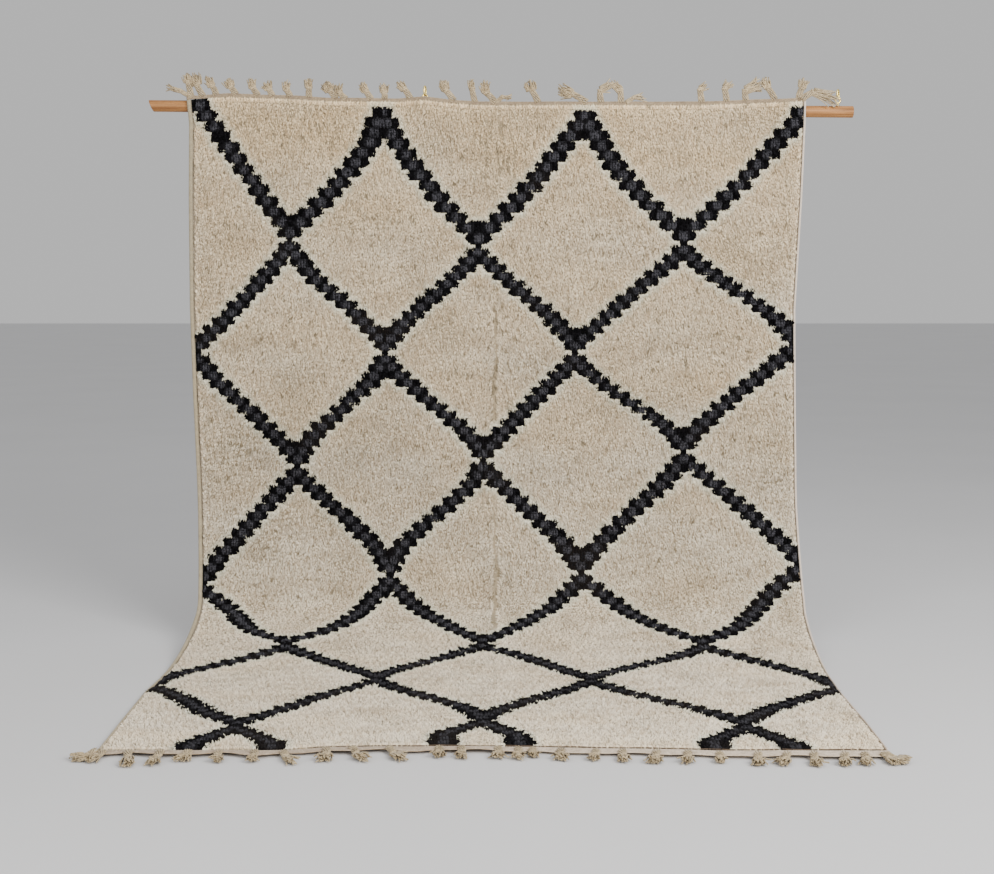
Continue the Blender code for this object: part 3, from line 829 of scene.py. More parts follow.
def wool_material(name, root_shade, body, tips, warm, warm_blend, halo_and_highlight, halo_and_highlight_share, lifts_root_shade, gloss):
    """Wool pile: darker towards its roots as painted shade, uneven from tuft to tuft, with fine
    fibres drawn down it.

    The piece's tints say how pale each point is, how high up its lock and how well lit, how warm,
    and how near it is to the middle of a block if it is dark, or to a dark line if it is cream.
    Root shade is the painted shade that low wool and gaps darken to. Halo and highlight is the
    colour near that middle or line: a pale halo in the cream, a painted grey highlight in the dark.
    Lifts root shade is how much that takes the root shade away. Gloss holds the sheen and the
    specular level.
    """
    material, tree, shader = new_material(name, 0.92, *gloss)
    wool = new_node(tree, "Attribute")
    wool.attribute_name = "wool"
    tints = new_node(tree, "SeparateColor", Color=wool.outputs["Color"]).outputs
    fibres = new_node(tree, "Group", WOOL_FIBRES, Stretch=(190.0, 110.0, 95.0), Relief=0.0007)
    uneven = math_node(tree, "MULTIPLY_ADD", fibres.outputs["Shade"], 0.9, -0.45)
    share = math_node(tree, "ADD", tints["Red"], uneven, clamp=True)
    colour = mix_colours(tree, share, body, tips)
    colour = mix_colours(tree, wool.outputs["Alpha"], colour, warm, warm_blend)
    toned = math_node(tree, "MULTIPLY", tints["Blue"], halo_and_highlight_share, clamp=True)
    colour = mix_colours(tree, toned, colour, halo_and_highlight)
    # painted shade: dark specks in the root shade where the wool parts
    specks = new_node(tree, "Group", WOOL_SPECKS_AND_GAP_SHADE).outputs["Mask"]
    colour = mix_colours(tree, math_node(tree, "MULTIPLY", specks, 0.85), colour, root_shade)
    # painted shade: low on each lock, and in its seams, partings and the crease, the wool darkens to
    # the root shade
    rise = math_node(tree, "MULTIPLY_ADD", tints["Green"], 2.2, -0.60, clamp=True)
    rise = math_node(tree, "MULTIPLY_ADD", toned, lifts_root_shade, rise, clamp=True)
    feed(tree, shader.inputs["Base Color"], mix_colours(tree, rise, root_shade, colour))
    feed(tree, shader.inputs["Normal"], fibres.outputs["Normal"])
    return material


cream_wool = wool_material(
    "cream_wool",
    root_shade=(0.240, 0.190, 0.115),
    body=(0.628, 0.510, 0.366),
    tips=(0.960, 0.858, 0.690),
    warm=(1.040, 0.930, 0.745),
    warm_blend="MULTIPLY",
    halo_and_highlight=(0.735, 0.755, 0.615),
    halo_and_highlight_share=0.75,
    lifts_root_shade=1.0,
    gloss=(0.20, 0.10),
)
dark_wool = wool_material(
    "dark_wool",
    root_shade=(0.001, 0.001, 0.001),
    body=INK,
    tips=(0.008, 0.007, 0.009),
    warm=(0.012, 0.0095, 0.0085),
    warm_blend="MIX",
    halo_and_highlight=(0.060, 0.059, 0.068),
    halo_and_highlight_share=0.95,
    lifts_root_shade=0.0,
    gloss=(0.01, 0.05),
)
# How warm the cream is down the cloth.
# along, share
WARMTH = [
    (0.0, 1.0),
    (0.12, 0.8),
    (0.3, 0.55),
    (0.8, 0.4),
    (1.0, 0.1),
    (1.5, 0.0),
    (2.1, 0.0),
    (2.31, 0.3),
]


def add_wool(piece, *materials):
    """Finishes a piece of the pile."""
    for material in materials:
        piece.data.materials.append(material)
    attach(piece, "root")


# The pile's dense lower half, where its wool stands too close to tell apart. It is coloured mostly
# with the root shade: painted shade deep in the pile.
UNDERWOOL = 0.56  # of the pile's height
UNDER_COLUMNS = 150
UNDER_ROWS = 220
UNDER_INSET = 0.006  # from the rug's ends
UNDER_TONE = 0.2
# low, so that the underwool is mostly painted root shade
UNDER_SHADE_RISE = 0.35
lengths = np.linspace(UNDER_INSET, LENGTH - UNDER_INSET, UNDER_ROWS + 1)
shares = np.linspace(0, 1, UNDER_COLUMNS + 1)
along, share = (grid.ravel() for grid in np.meshgrid(lengths, shares, indexing="ij"))
left, right = field_sides(along)
across = left + share * (right - left)
faces = grid_faces(UNDER_ROWS, UNDER_COLUMNS)
ones = np.ones_like(across)
halo = np.clip(1 - read_chart(across, along)[3] / HALO, 0, 1)
tints = np.stack([UNDER_TONE * ones, UNDER_SHADE_RISE * ones, halo, read(WARMTH, along)], axis=1)
points = on_cloth(across, along, UNDERWOOL * pile_height(across, along))
under = new_piece("pile_underwool", points, [faces], tints)
apart = read_chart(across[faces].mean(axis=1), along[faces].mean(axis=1))[3]
under.data.polygons.foreach_set("material_index", (apart <= 0).astype(np.int32))
add_wool(under, cream_wool, dark_wool)

# Strands of cream wool over the whole field, in four pieces down the rug.
STRAND_ROWS = (405, 470)  # columns and rows
STRAND_SLIP = (0.0018, 0.0024)
STRAND_GIRTH = 0.0037
STRAND_RINGS = ((0.45, 1.0),)
CLEAR_OF_LINES = 0.0015  # cream wool keeps this far from a dark block
# name, from, to
PILE_PARTS = [("top", 0.0, 0.55), ("middle", 0.55, 1.1), ("bend", 1.1, 1.65), ("floor", 1.65, 9.0)]
all_across, all_along = knots_in_rows(*STRAND_ROWS, *STRAND_SLIP)
all_owner, _, _, all_apart = read_chart(all_across, all_along)
pale = (all_owner < 0) & (all_apart > CLEAR_OF_LINES)
all_across, all_along, all_apart = all_across[pale], all_along[pale], all_apart[pale]
for part_name, above, below in PILE_PARTS:
    picked = (all_along >= above) & (all_along < below)
    across, along = all_across[picked], all_along[picked]
    flat = np.clip((along - 1.45) / 0.25, 0, 1)
    tone = 0.52 + 0.14 * smooth_noise(across, along, 0.10, 0.05, 12)
    tone = tone + 0.25 * np.clip((along - 2.05) / 0.2, 0, 1)
    tone += (0.10 + 0.16 * flat) * smooth_noise(across, along, 0.010, 0.016, 13)
    tone += 0.20 * smooth_noise(across, along, 0.0058, 0.016, 18)
    tone = np.clip(tone + pile_seed.normal(0, 0.15, len(across)), 0, 1)
    warm = np.clip(read(WARMTH, along) + 0.15 * smooth_noise(across, along, 0.2, 0.1, 14), 0, 1)
    tints = (tone, np.clip(1 - all_apart[picked] / HALO, 0, 1), warm)
    uneven = 0.055 + 0.06 * flat
    leans = tuft_leans(across, along)
    shape = (STRAND_GIRTH, 1.25, leans, uneven, STRAND_RINGS)
    add_wool(make_locks("pile_" + part_name, across, along, tints, *shape), cream_wool)

# Whole locks stand round the field's borders, where the pile is seen from the side.
BORDER_ROWS = (232, 290)  # columns and rows
BORDER_SLIP = (0.0012, 0.0016)
BORDER_WIDTH = 0.0065
BORDER_GIRTH = 0.0046
TUFT_RINGS = ((0.26, 1.45), (0.74, 0.90))
across, along = knots_in_rows(*BORDER_ROWS, *BORDER_SLIP)
left, right = field_sides(along)
inside = np.minimum(across - left, right - across)
inside = np.minimum(inside, np.minimum(along, LENGTH - along))
owner, _, _, apart = read_chart(across, along)
edge = (inside < BORDER_WIDTH) & (owner < 0) & (apart > CLEAR_OF_LINES)
across, along, apart = across[edge], along[edge], apart[edge]
tints = (
    np.clip(0.45 + pile_seed.normal(0, 0.25, len(across)), 0, 1),
    np.clip(1 - apart / HALO, 0, 1),
    read(WARMTH, along),
)
shape = (BORDER_GIRTH, 1.5, tuft_leans(across, along), 0.05, TUFT_RINGS)
add_wool(make_locks("pile_borders", across, along, tints, *shape), cream_wool)

# The lattice's dark locks are set block by block. Near a block's sides they draw together to a
# point or two, and in its middle their cut ends are painted grey, as a painted highlight.
DARK_PITCH = (0.0066, 0.0056)  # across and along
DARK_SLIP = 0.0010
DARK_GIRTH = 0.0045
POINT_LEAN = 0.0080  # how much further a block's outer locks lean out at a point
NOTCH_LEAN = -0.0012  # than between points
across, along, block = knots_in_blocks(*DARK_PITCH)
owner, aside, down, _ = read_chart(across, along)
own = owner == block
across, along, block, aside, down = across[own], along[own], block[own], aside[own], down[own]
plain = np.array([half_width > WIDE_BLOCK for _, _, half_width, _ in blocks])[block]
outer = np.clip((np.abs(aside) - 0.50) / 0.30, 0, 1) * plain
leans = tuft_leans(across, along)
across = across + pile_seed.uniform(-DARK_SLIP, DARK_SLIP, len(across))
along = along + pile_seed.uniform(-DARK_SLIP, DARK_SLIP, len(along))
point_seed = np.random.default_rng(41)
points_at = point_seed.uniform(-0.9, 0.9, (len(blocks), 2, 2))[block, (aside > 0).astype(int)]
point = np.where(np.abs(points_at[:, 0] - down) < np.abs(points_at[:, 1] - down), *points_at.T)
drawn = np.clip(1 - np.abs(point - down) / 0.7, 0, 1)
half_height = np.array([half for _, _, _, half in blocks])[block]
leans = (
    leans[0] * 0.8 + np.sign(aside) * outer * (NOTCH_LEAN + POINT_LEAN * drawn),
    leans[1] * (0.50 - 0.20 * outer) + outer * 0.75 * (point - down) * half_height,
    np.ones_like(leans[2]),
)
tone = np.clip(0.3 + pile_seed.normal(0, 0.25, len(across)), 0, 1)
# painted highlight: the share of grey in a block's middle, for light on the cut ends
halo_and_highlight = plain * np.clip(2.1 - 4.4 * np.abs(aside), 0, 1) * np.clip(1.9 - 1.9 * np.abs(down), 0, 1)
halo_and_highlight = np.clip(halo_and_highlight * (1 + pile_seed.normal(0, 0.35, len(across))), 0, 1)
on_floor = np.clip((along - 1.5) / 0.3, 0, 1)
halo_and_highlight = halo_and_highlight * (1 - 0.35 * on_floor)
rusty = 0.9 * smooth_noise(across, along, 0.12, 0.12, 15) - 0.35 + 0.45 * on_floor
rusty = np.clip(rusty, 0, 0.8)
shape = (DARK_GIRTH, 1.2, leans, 0.05, TUFT_RINGS)
add_wool(make_locks("pile_lattice", across, along, (tone, halo_and_highlight, rusty), *shape), dark_wool)

# Loose dark strands splay out of the lattice's edges.
FRAY_SHARE = 0.8  # of the outer locks
FRAY_LEAN = 0.0085
FRAY_SLIP = 0.0025
FRAY_GIRTH = 0.0027
FRAY_RINGS = ((0.55, 1.0),)
fray = np.nonzero((outer > 0.6) & (pile_seed.uniform(0, 1, len(outer)) < FRAY_SHARE))[0]
across = across[fray] + pile_seed.uniform(-FRAY_SLIP, FRAY_SLIP, len(fray))
along = along[fray] + pile_seed.uniform(-FRAY_SLIP, FRAY_SLIP, len(fray))
splay = pile_seed.uniform(0.2, 1.0, len(fray)) * (1 + 0.9 * (along > 1.5))
corner = down * np.abs(down)
leans = (
    np.sign(aside[fray]) * FRAY_LEAN * splay + pile_seed.normal(0, 0.0015, len(fray)),
    0.0060 * corner[fray] * splay + pile_seed.normal(0.0005, 0.0020, len(fray)),
    np.ones(len(fray)),
)
tints = (tone[fray], 0 * splay, rusty[fray])
shape = (FRAY_GIRTH, 1.0, leans, 0.06, FRAY_RINGS)
add_wool(make_locks("pile_frayed", across, along, tints, *shape), dark_wool)

# ---------------------------------------------------------------- the side cords
# The side cords: two outer warps on each side, overcast with cream wool as the rug is woven.
# They finish the cloth's edges from the pole to the floor.
WRAP = 0.0056  # from one turn of the overcasting to the next
WRAP_RELIEF = 0.09
SIDE_THICK = 0.0076
SIDE_LIFT = 0.0004  # off the cloth's back
CORD_CORNERS = 7
# along, share of the full width
CORD_TAPER = [(0.00, 1.0), (1.50, 1.0), (1.80, 0.6), (2.31, 0.5)]
# name, share of the cloth's width, way inward, width, deep wool, pale wool
SIDE_CORDS = [
    # the left cord's wool is darker: partly its own tan, partly painted shade on the rug's left edge
    ("left", 0.0, 1, 0.0118, (0.25, 0.20, 0.12), (0.48, 0.41, 0.28)),
    ("right", 1.0, -1, 0.0055, (0.56, 0.46, 0.37), (0.82, 0.72, 0.62)),
]


def tubes(paths, radii, guide, sides):
    """Round bars along many paths at once, closed at both ends.

    Paths has a row of points for each bar. Radii has one for each point, or one for each corner of
    each ring. The guide is a direction that no path runs along.
    """
    paths = np.asarray(paths, float)
    bars, steps = paths.shape[:2]
    run = np.gradient(paths, axis=1)
    run /= np.linalg.norm(run, axis=2)[..., None] + 1e-12
    aside = np.cross(run, guide)
    aside /= np.linalg.norm(aside, axis=2)[..., None] + 1e-12
    over = np.cross(run, aside)
    angles = 2 * math.pi * np.arange(sides) / sides
    radii = np.asarray(radii, float)
    radii = radii[..., None] if radii.ndim < 3 else radii
    points = (
        paths[:, :, None, :]
        + (radii * np.cos(angles))[..., None] * aside[:, :, None, :]
        + (radii * np.sin(angles))[..., None] * over[:, :, None, :]
    )
    ring = np.arange(sides)
    first = (np.arange(bars)[:, None] * steps + np.arange(steps - 1)).ravel()[:, None] * sides
    here, after = first + ring, first + (ring + 1) % sides
    walls = np.stack([here, after, after + sides, here + sides], axis=-1).reshape(-1, 4)
    foot = np.arange(bars)[:, None] * steps * sides
    ends = np.concatenate([foot + ring[::-1], foot + (steps - 1) * sides + ring])
    return points.reshape(-1, 3), [walls, ends]


def join(parts):
    """Many sets of points and faces as one."""
    points, faces, offset = [], [], 0
    for part_points, part_faces in parts:
        points.append(part_points)
        faces += [face + offset for face in part_faces]
        offset += len(part_points)
    return np.concatenate(points), faces


def yarn_material(name, deep, pale):
    """Plied warp yarn: uneven tan wool, darker where soiled, with painted shade in its hollows."""
    material, tree, shader = new_material(name, 0.93, sheen=0.2, specular=0.12)
    fibres = new_node(tree, "Group", WOOL_FIBRES, Stretch=(650.0, 650.0, 650.0), Relief=0.0005)
    stain = new_node(tree, "TexNoise", Vector=own_place(tree), Scale=80.0, Detail=2.0)
    stained = math_node(tree, "MULTIPLY_ADD", stain.outputs["Fac"], 0.9, -0.45)
    soiled = new_node(tree, "Attribute")
    soiled.attribute_name = "wool"
    stained = math_node(tree, "SUBTRACT", stained, soiled.outputs["Fac"])
    # painted shade: the fibre noise that raises the bump also pales the wool, so its hollows are
    # darker
    share = math_node(tree, "ADD", fibres.outputs["Shade"], stained, clamp=True)
    colour = mix_colours(tree, share, deep, pale)
    # dark specks, and painted shade where the wool parts, in the deep colour
    specks = new_node(tree, "Group", WOOL_SPECKS_AND_GAP_SHADE, Stretch=(330.0, 330.0, 330.0), Level=0.57)
    dim = math_node(tree, "MULTIPLY", specks.outputs["Mask"], 0.55)
    feed(tree, shader.inputs["Base Color"], mix_colours(tree, dim, colour, deep))
    feed(tree, shader.inputs["Normal"], fibres.outputs["Normal"])
    return material


for side_name, share, inward, wide, deep, pale_wool in SIDE_CORDS:
    steps = np.arange(0, LENGTH, WRAP / 3)
    wide = (wide * read(CORD_TAPER, steps))[:, None]
    edge = across_at(share, steps) + inward * wide[:, 0] / 2
    middle = on_cloth(edge, steps, SIDE_THICK / 2 + SIDE_LIFT)
    angles = 2 * math.pi * np.arange(CORD_CORNERS) / CORD_CORNERS
    half_wide, half_thick = wide / 2, SIDE_THICK / 2
    oval = half_wide * half_thick / np.hypot(half_thick * np.sin(angles), half_wide * np.cos(angles))
    ribs = np.sin(2 * math.pi * steps[:, None] / WRAP + angles[None, :])
    radii = oval * (1 + WRAP_RELIEF * ribs)
    points, faces = tubes(middle[None], radii[None], (1, 0, 0), CORD_CORNERS)
    cord = new_piece("side_cord_" + side_name, points, faces)
    cord.data.materials.append(yarn_material("overcast_wool_" + side_name, deep, pale_wool))
    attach(cord, "root")

# ---------------------------------------------------------------- the top fringe
# The top fringe: wool warps left long past the knotting. A narrow flat-woven band holds the last
# row, above it bundles of warps are knotted and cut, and they stand, lean or hang over the pole.
BAND_Y = 0.7682  # the band's middle
TOP_BAND = 0.010  # its height
TOP_BAND_FOOT = 0.0003  # above the end of the pile's cloth
TOP_WEFTS = (0.0018, 0.0048, 0.0080)  # how far above its foot each row of twining lies
TWINE = 0.0019  # the radius of a row
TWINE_TURN = 0.0105  # from one turn of the twining to the next
TWINE_RELIEF = 0.16
TWINE_CORNERS = 6
TOP_DEPTH = 0.0060  # how far the brushes reach to the front and to the back
# The yarns' deep colours are partly painted shade in their hollows, partly stains.
BAND_WOOL = ((0.21, 0.150, 0.088), (0.47, 0.365, 0.245))  # in its hollows, and on its surface
TASSEL_WOOL = ((0.16, 0.105, 0.045), (0.80, 0.655, 0.425))

# Where each tassel springs from the band, its knot and its tip from there, how wide its brush
# spreads, how many threads it has, and how its threads curl.
# across, knot across, knot up, tip across, tip up, spread, threads, curl
TOP_TASSELS = [
    (-0.792, -0.032, 0.012, -0.072, 0.021, 0.014, 9, -0.3),
    (-0.796, -0.007, 0.034, -0.012, 0.057, 0.031, 22, 0.3),
    (-0.765, -0.015, 0.024, -0.025, 0.055, 0.044, 30, 0.3),
    (-0.731, -0.010, 0.020, -0.025, 0.046, 0.031, 22, 0.5),
    (-0.679, -0.013, 0.016, -0.023, 0.040, 0.029, 20, 0.5),
    (-0.622, -0.013, 0.016, -0.020, 0.041, 0.026, 20, 0.4),
    (-0.585, -0.008, 0.014, -0.018, 0.032, 0.031, 20, -0.6),
    (-0.539, -0.008, 0.013, -0.012, 0.038, 0.024, 20, 0.7),
    (-0.489, 0.000, 0.021, -0.002, 0.045, 0.029, 24, 0.2),
    (-0.419, -0.015, 0.017, -0.028, 0.040, 0.042, 30, 0.5),
    (-0.393, -0.016, 0.012, -0.023, 0.035, 0.023, 16, 0.6),
    (-0.328, -0.013, 0.017, -0.026, 0.038, 0.029, 20, 0.5),
    (-0.294, 0.000, 0.014, 0.000, 0.038, 0.031, 24, 0.7),
    (-0.226, -0.015, 0.021, -0.034, 0.038, 0.028, 20, -0.4),
    (-0.112, -0.021, 0.024, -0.034, 0.051, 0.034, 24, 0.4),
    (-0.057, -0.008, 0.030, -0.010, 0.056, 0.021, 16, 0.2),
    (-0.005, -0.023, 0.022, -0.031, 0.054, 0.031, 24, 0.6),
    (-0.008, 0.021, 0.011, 0.047, 0.010, 0.010, 8, 0.2),
    (0.107, -0.016, 0.028, -0.024, 0.054, 0.044, 30, 0.3),
    (0.234, -0.037, 0.019, -0.076, 0.032, 0.036, 32, 0.4),
    (0.271, -0.002, 0.029, 0.031, 0.045, 0.028, 20, -0.2),
    (0.323, -0.002, 0.028, -0.027, 0.048, 0.030, 22, 0.2),
    (0.336, 0.021, 0.010, 0.055, 0.010, 0.013, 8, 0.2),
    (0.533, -0.005, 0.031, 0.016, 0.041, 0.024, 20, -0.4),
    (0.598, -0.006, 0.031, 0.013, 0.047, 0.024, 20, -0.5),
    (0.648, -0.003, 0.024, 0.045, 0.041, 0.032, 28, -0.3),
    (0.723, -0.018, 0.027, -0.031, 0.052, 0.026, 20, 0.4),
    (0.786, 0.007, 0.025, 0.014, 0.049, 0.031, 24, 0.3),
    (0.792, 0.030, 0.015, 0.098, -0.008, 0.030, 22, 0.2),
]
STALK_WARPS = 8
WARP = 0.0018  # the radius of one warp
KNOT_TURNS = 1.7
KNOT_GIRTH = 0.0030
FULLNESS = 1.35  # how many threads a brush has for each one in the tables
THREAD = 0.0023  # the radius of one thread

tassel_seed = np.random.default_rng(31)


def make_tassel(root, knot, tip, spread, threads, curl, guide, low, high):
    """A bundle of warps, an overhand knot round it and a loose brush, as points and faces.

    The brush fans out across the guide, its threads curl outwards or inwards at their tips, and it
    reaches from low to high along the guide.
    """
    guide = np.asarray(guide, float)
    root, knot, tip = (np.asarray(p, float) for p in (root, knot, tip))
    direction = (knot - root) / (np.linalg.norm(knot - root) + 1e-9)
    level = np.cross(direction, guide)
    level /= np.linalg.norm(level)
    # the stalk: warps side by side, loosely turned
    full = min(1.0, 0.35 + threads / 28)
    share = np.linspace(0, 1, 7)[:, None]
    middle = root + share * (knot - root)
    middle = middle + 0.0020 * tassel_seed.uniform(-1, 1) * np.sin(math.pi * share) * level
    stalk = []
    for number in range(STALK_WARPS):
        angle = 2 * math.pi * number / STALK_WARPS + 2.2 * share
        wide = (0.0076 - 0.0016 * share) * full
        stalk.append(middle + wide * np.cos(angle) * level + 0.0038 * full * np.sin(angle) * guide)
    parts = [tubes(stalk, np.full((STALK_WARPS, 7), WARP), guide + 0.01, 4)]
    # the knot: nearly two turns round the stalk
    share = np.linspace(0, 1, 18)
    angle = (tassel_seed.uniform(0, 6) + 2 * math.pi * KNOT_TURNS * share)[:, None]
    along = (share[:, None] - 0.5) * 0.0080 * direction
    coil = knot + full * (0.0062 * np.cos(angle) * level + 0.0042 * np.sin(angle) * guide) + along
    girth = KNOT_GIRTH * np.sin(np.clip(share, 0.04, 0.96) * math.pi) ** 0.25
    parts.append(tubes([coil], [girth], direction, 6))
    # the brush: threads that fan out, curl and end unevenly
    count = FULLNESS * threads
    share = np.linspace(0, 1, 6)
    reach = np.linalg.norm(tip - knot)
    outward = (tip - knot) / (reach + 1e-9)
    across = np.cross(outward, guide)
    across /= np.linalg.norm(across) + 1e-9
    half = 0.001 + 0.27 * spread
    fan = math.atan2(max(spread / 2 - half, 0.001), reach * 0.9)
    brush, girths = [], []
    for number in range(round(count)):
        side = (number + 0.5) / count * 2 - 1 + tassel_seed.normal(0, 0.06)
        long = reach * (1.04 - 0.22 * side**2) * tassel_seed.uniform(0.58, 1.06)
        inward = tassel_seed.uniform(-0.4, 1.4) * (0.6 + curl)
        turn = side * (fan * (1.2 - 0.7 * share) - inward * share**1.5)
        turn = turn + tassel_seed.normal(0, 0.10) + tassel_seed.normal(0, 0.30) * share**2
        heading = np.cos(turn)[:, None] * outward + np.sin(turn)[:, None] * across
        steps = np.concatenate([[0 * heading[0]], np.cumsum(heading[1:], axis=0)]) * long / 5
        deep = low + (high - low) * (0.5 - 0.5 * math.cos(number * 2.4))
        rise = share**0.6 * deep * (1 - 0.25 * share) + 0.0006 * np.sin(share * 6 + number)
        brush.append(knot + half * side * across + steps + rise[:, None] * guide)
        girths.append(THREAD * (1.05 - 0.30 * share))
    parts.append(tubes(brush, girths, guide + 0.01, 3))
    return join(parts)


def top_of_pile(across):
    """The height of the cloth's end."""
    return LONG_HEIGHT[1] + read(TOP_LINE, across)


band_wool = yarn_material("band_wool", *BAND_WOOL)
tassel_wool = yarn_material("tassel_wool", *TASSEL_WOOL)
steps = np.arange(read(EDGES, 0.0, 1), read(EDGES, 0.0, 2), TWINE * 1.7)
rows = []
for number, lift in enumerate(TOP_WEFTS):
    height = top_of_pile(steps) + TOP_BAND_FOOT + lift + 0.0004 * np.sin(steps * 37 + number)
    path = np.stack([steps, np.full_like(steps, BAND_Y), height], axis=1)
    angles = 2 * math.pi * np.arange(TWINE_CORNERS) / TWINE_CORNERS
    ribs = np.sin(2 * math.pi * steps[:, None] / TWINE_TURN * (-1) ** number + angles[None, :])
    radii = TWINE * (1 + TWINE_RELIEF * ribs)
    rows.append(tubes(path[None], radii[None], (0, 1, 0), TWINE_CORNERS))
top_band = new_piece("top_band", *join(rows))
top_band.data.materials.append(band_wool)
tassels = []
for root, knot_across, knot_up, tip_across, tip_up, spread, threads, curl in TOP_TASSELS:
    foot = top_of_pile(root) + TOP_BAND_FOOT + TOP_BAND
    tassels.append(
        make_tassel(
            (root, BAND_Y, foot - 0.003),
            (root + knot_across, BAND_Y, foot + knot_up),
            (root + tip_across, BAND_Y, foot + tip_up),
            spread,
            threads,
            curl,
            (0, 1, 0),
            -TOP_DEPTH,
            TOP_DEPTH,
        )
    )
top_tassels = new_piece("top_tassels", *join(tassels))
top_tassels.data.materials.append(tassel_wool)
for piece in (top_band, top_tassels):
    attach(piece, "root")
    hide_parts("fringe_top")

# ---------------------------------------------------------------- the front fringe
# The front fringe: the warps at the rug's other end, first woven into a flat band of fine wefts,
# then knotted in bundles. Band and tassels lie on the floor, with the band's edge a little raised.
FRONT_END = 1.035  # forward of the hanging back, where the knotting ends
# How far the band reaches forward from the knotting.
# across, reach
FRONT_BAND = [
    (-0.81, 0.036),
    (-0.60, 0.040),
    (-0.30, 0.040),
    (0.00, 0.042),
    (0.30, 0.047),
    (0.60, 0.053),
    (0.81, 0.055),
]
FRONT_BAND_THICK = 0.0035
FRONT_BAND_FOOT = 0.0016  # how high the band's back edge lies
FRONT_RISE = 0.0045  # how high its front edge lies at least
FRONT_RIBS = 6
FRONT_WARPS = 0.0062  # from one pair of warps to the next
FRONT_BAND_WOOL = ((0.32, 0.23, 0.145), (0.90, 0.76, 0.60))
# darker than the top tassels' wool: partly painted shade round the tassels on the floor
FRONT_TASSEL_WOOL = ((0.14, 0.094, 0.042), (0.73, 0.595, 0.375))
SHADOW_LINE_WOOL = ((0.035, 0.022, 0.013), (0.16, 0.11, 0.07))

# How far the band's front edge is lifted off the floor between its tassels.
# across, lift
FRONT_LIFT = [
    (-0.82, 0.0060),
    (-0.76, 0.0010),
    (-0.70, 0.0045),
    (-0.62, 0.0030),
    (-0.50, 0.0035),
    (-0.40, 0.0010),
    (-0.30, 0.0050),
    (-0.16, 0.0015),
    (-0.04, 0.0050),
    (0.10, 0.0010),
    (0.30, 0.0030),
    (0.42, 0.0020),
    (0.62, 0.0040),
    (0.81, 0.0015),
]
# across, tip across, tip forward, spread, threads, curl
FRONT_TASSELS = [
    (-0.803, -0.038, 0.032, 0.044, 30, 0.4),
    (-0.790, -0.016, 0.046, 0.028, 20, 0.4),
    (-0.738, 0.020, 0.069, 0.030, 26, 0.5),
    (-0.674, -0.006, 0.063, 0.030, 26, 0.5),
    (-0.620, -0.014, 0.036, 0.016, 14, 0.4),
    (-0.616, 0.004, 0.036, 0.014, 12, 0.3),
    (-0.557, 0.006, 0.042, 0.030, 24, 0.5),
    (-0.486, 0.003, 0.042, 0.024, 20, 0.5),
    (-0.427, 0.027, 0.054, 0.028, 26, 0.5),
    (-0.344, 0.002, 0.056, 0.038, 30, 0.6),
    (-0.292, 0.034, 0.058, 0.032, 26, 0.5),
    (-0.218, 0.034, 0.055, 0.036, 28, 0.5),
    (-0.117, 0.000, 0.039, 0.036, 26, 0.5),
    (-0.072, 0.000, 0.044, 0.030, 24, 0.5),
    (0.002, 0.000, 0.042, 0.032, 26, 0.5),
    (0.043, 0.000, 0.045, 0.026, 22, 0.5),
    (0.072, 0.002, 0.030, 0.030, 20, 0.5),
    (0.129, -0.002, 0.044, 0.040, 28, 0.5),
    (0.199, -0.010, 0.039, 0.030, 22, 0.5),
    (0.252, -0.002, 0.048, 0.032, 26, 0.5),
    (0.320, -0.012, 0.053, 0.042, 30, 0.5),
    (0.382, -0.008, 0.049, 0.034, 26, 0.5),
    (0.444, -0.006, 0.036, 0.030, 24, 0.5),
    (0.521, -0.010, 0.051, 0.034, 28, 0.5),
    (0.579, -0.024, 0.049, 0.040, 26, 0.3),
    (0.632, -0.008, 0.055, 0.030, 28, 0.5),
    (0.694, -0.014, 0.050, 0.034, 26, 0.5),
    (0.732, -0.008, 0.048, 0.034, 24, 0.5),
    (0.776, 0.036, 0.030, 0.038, 30, 0.4),
    (0.770, 0.018, 0.043, 0.028, 22, 0.4),
]


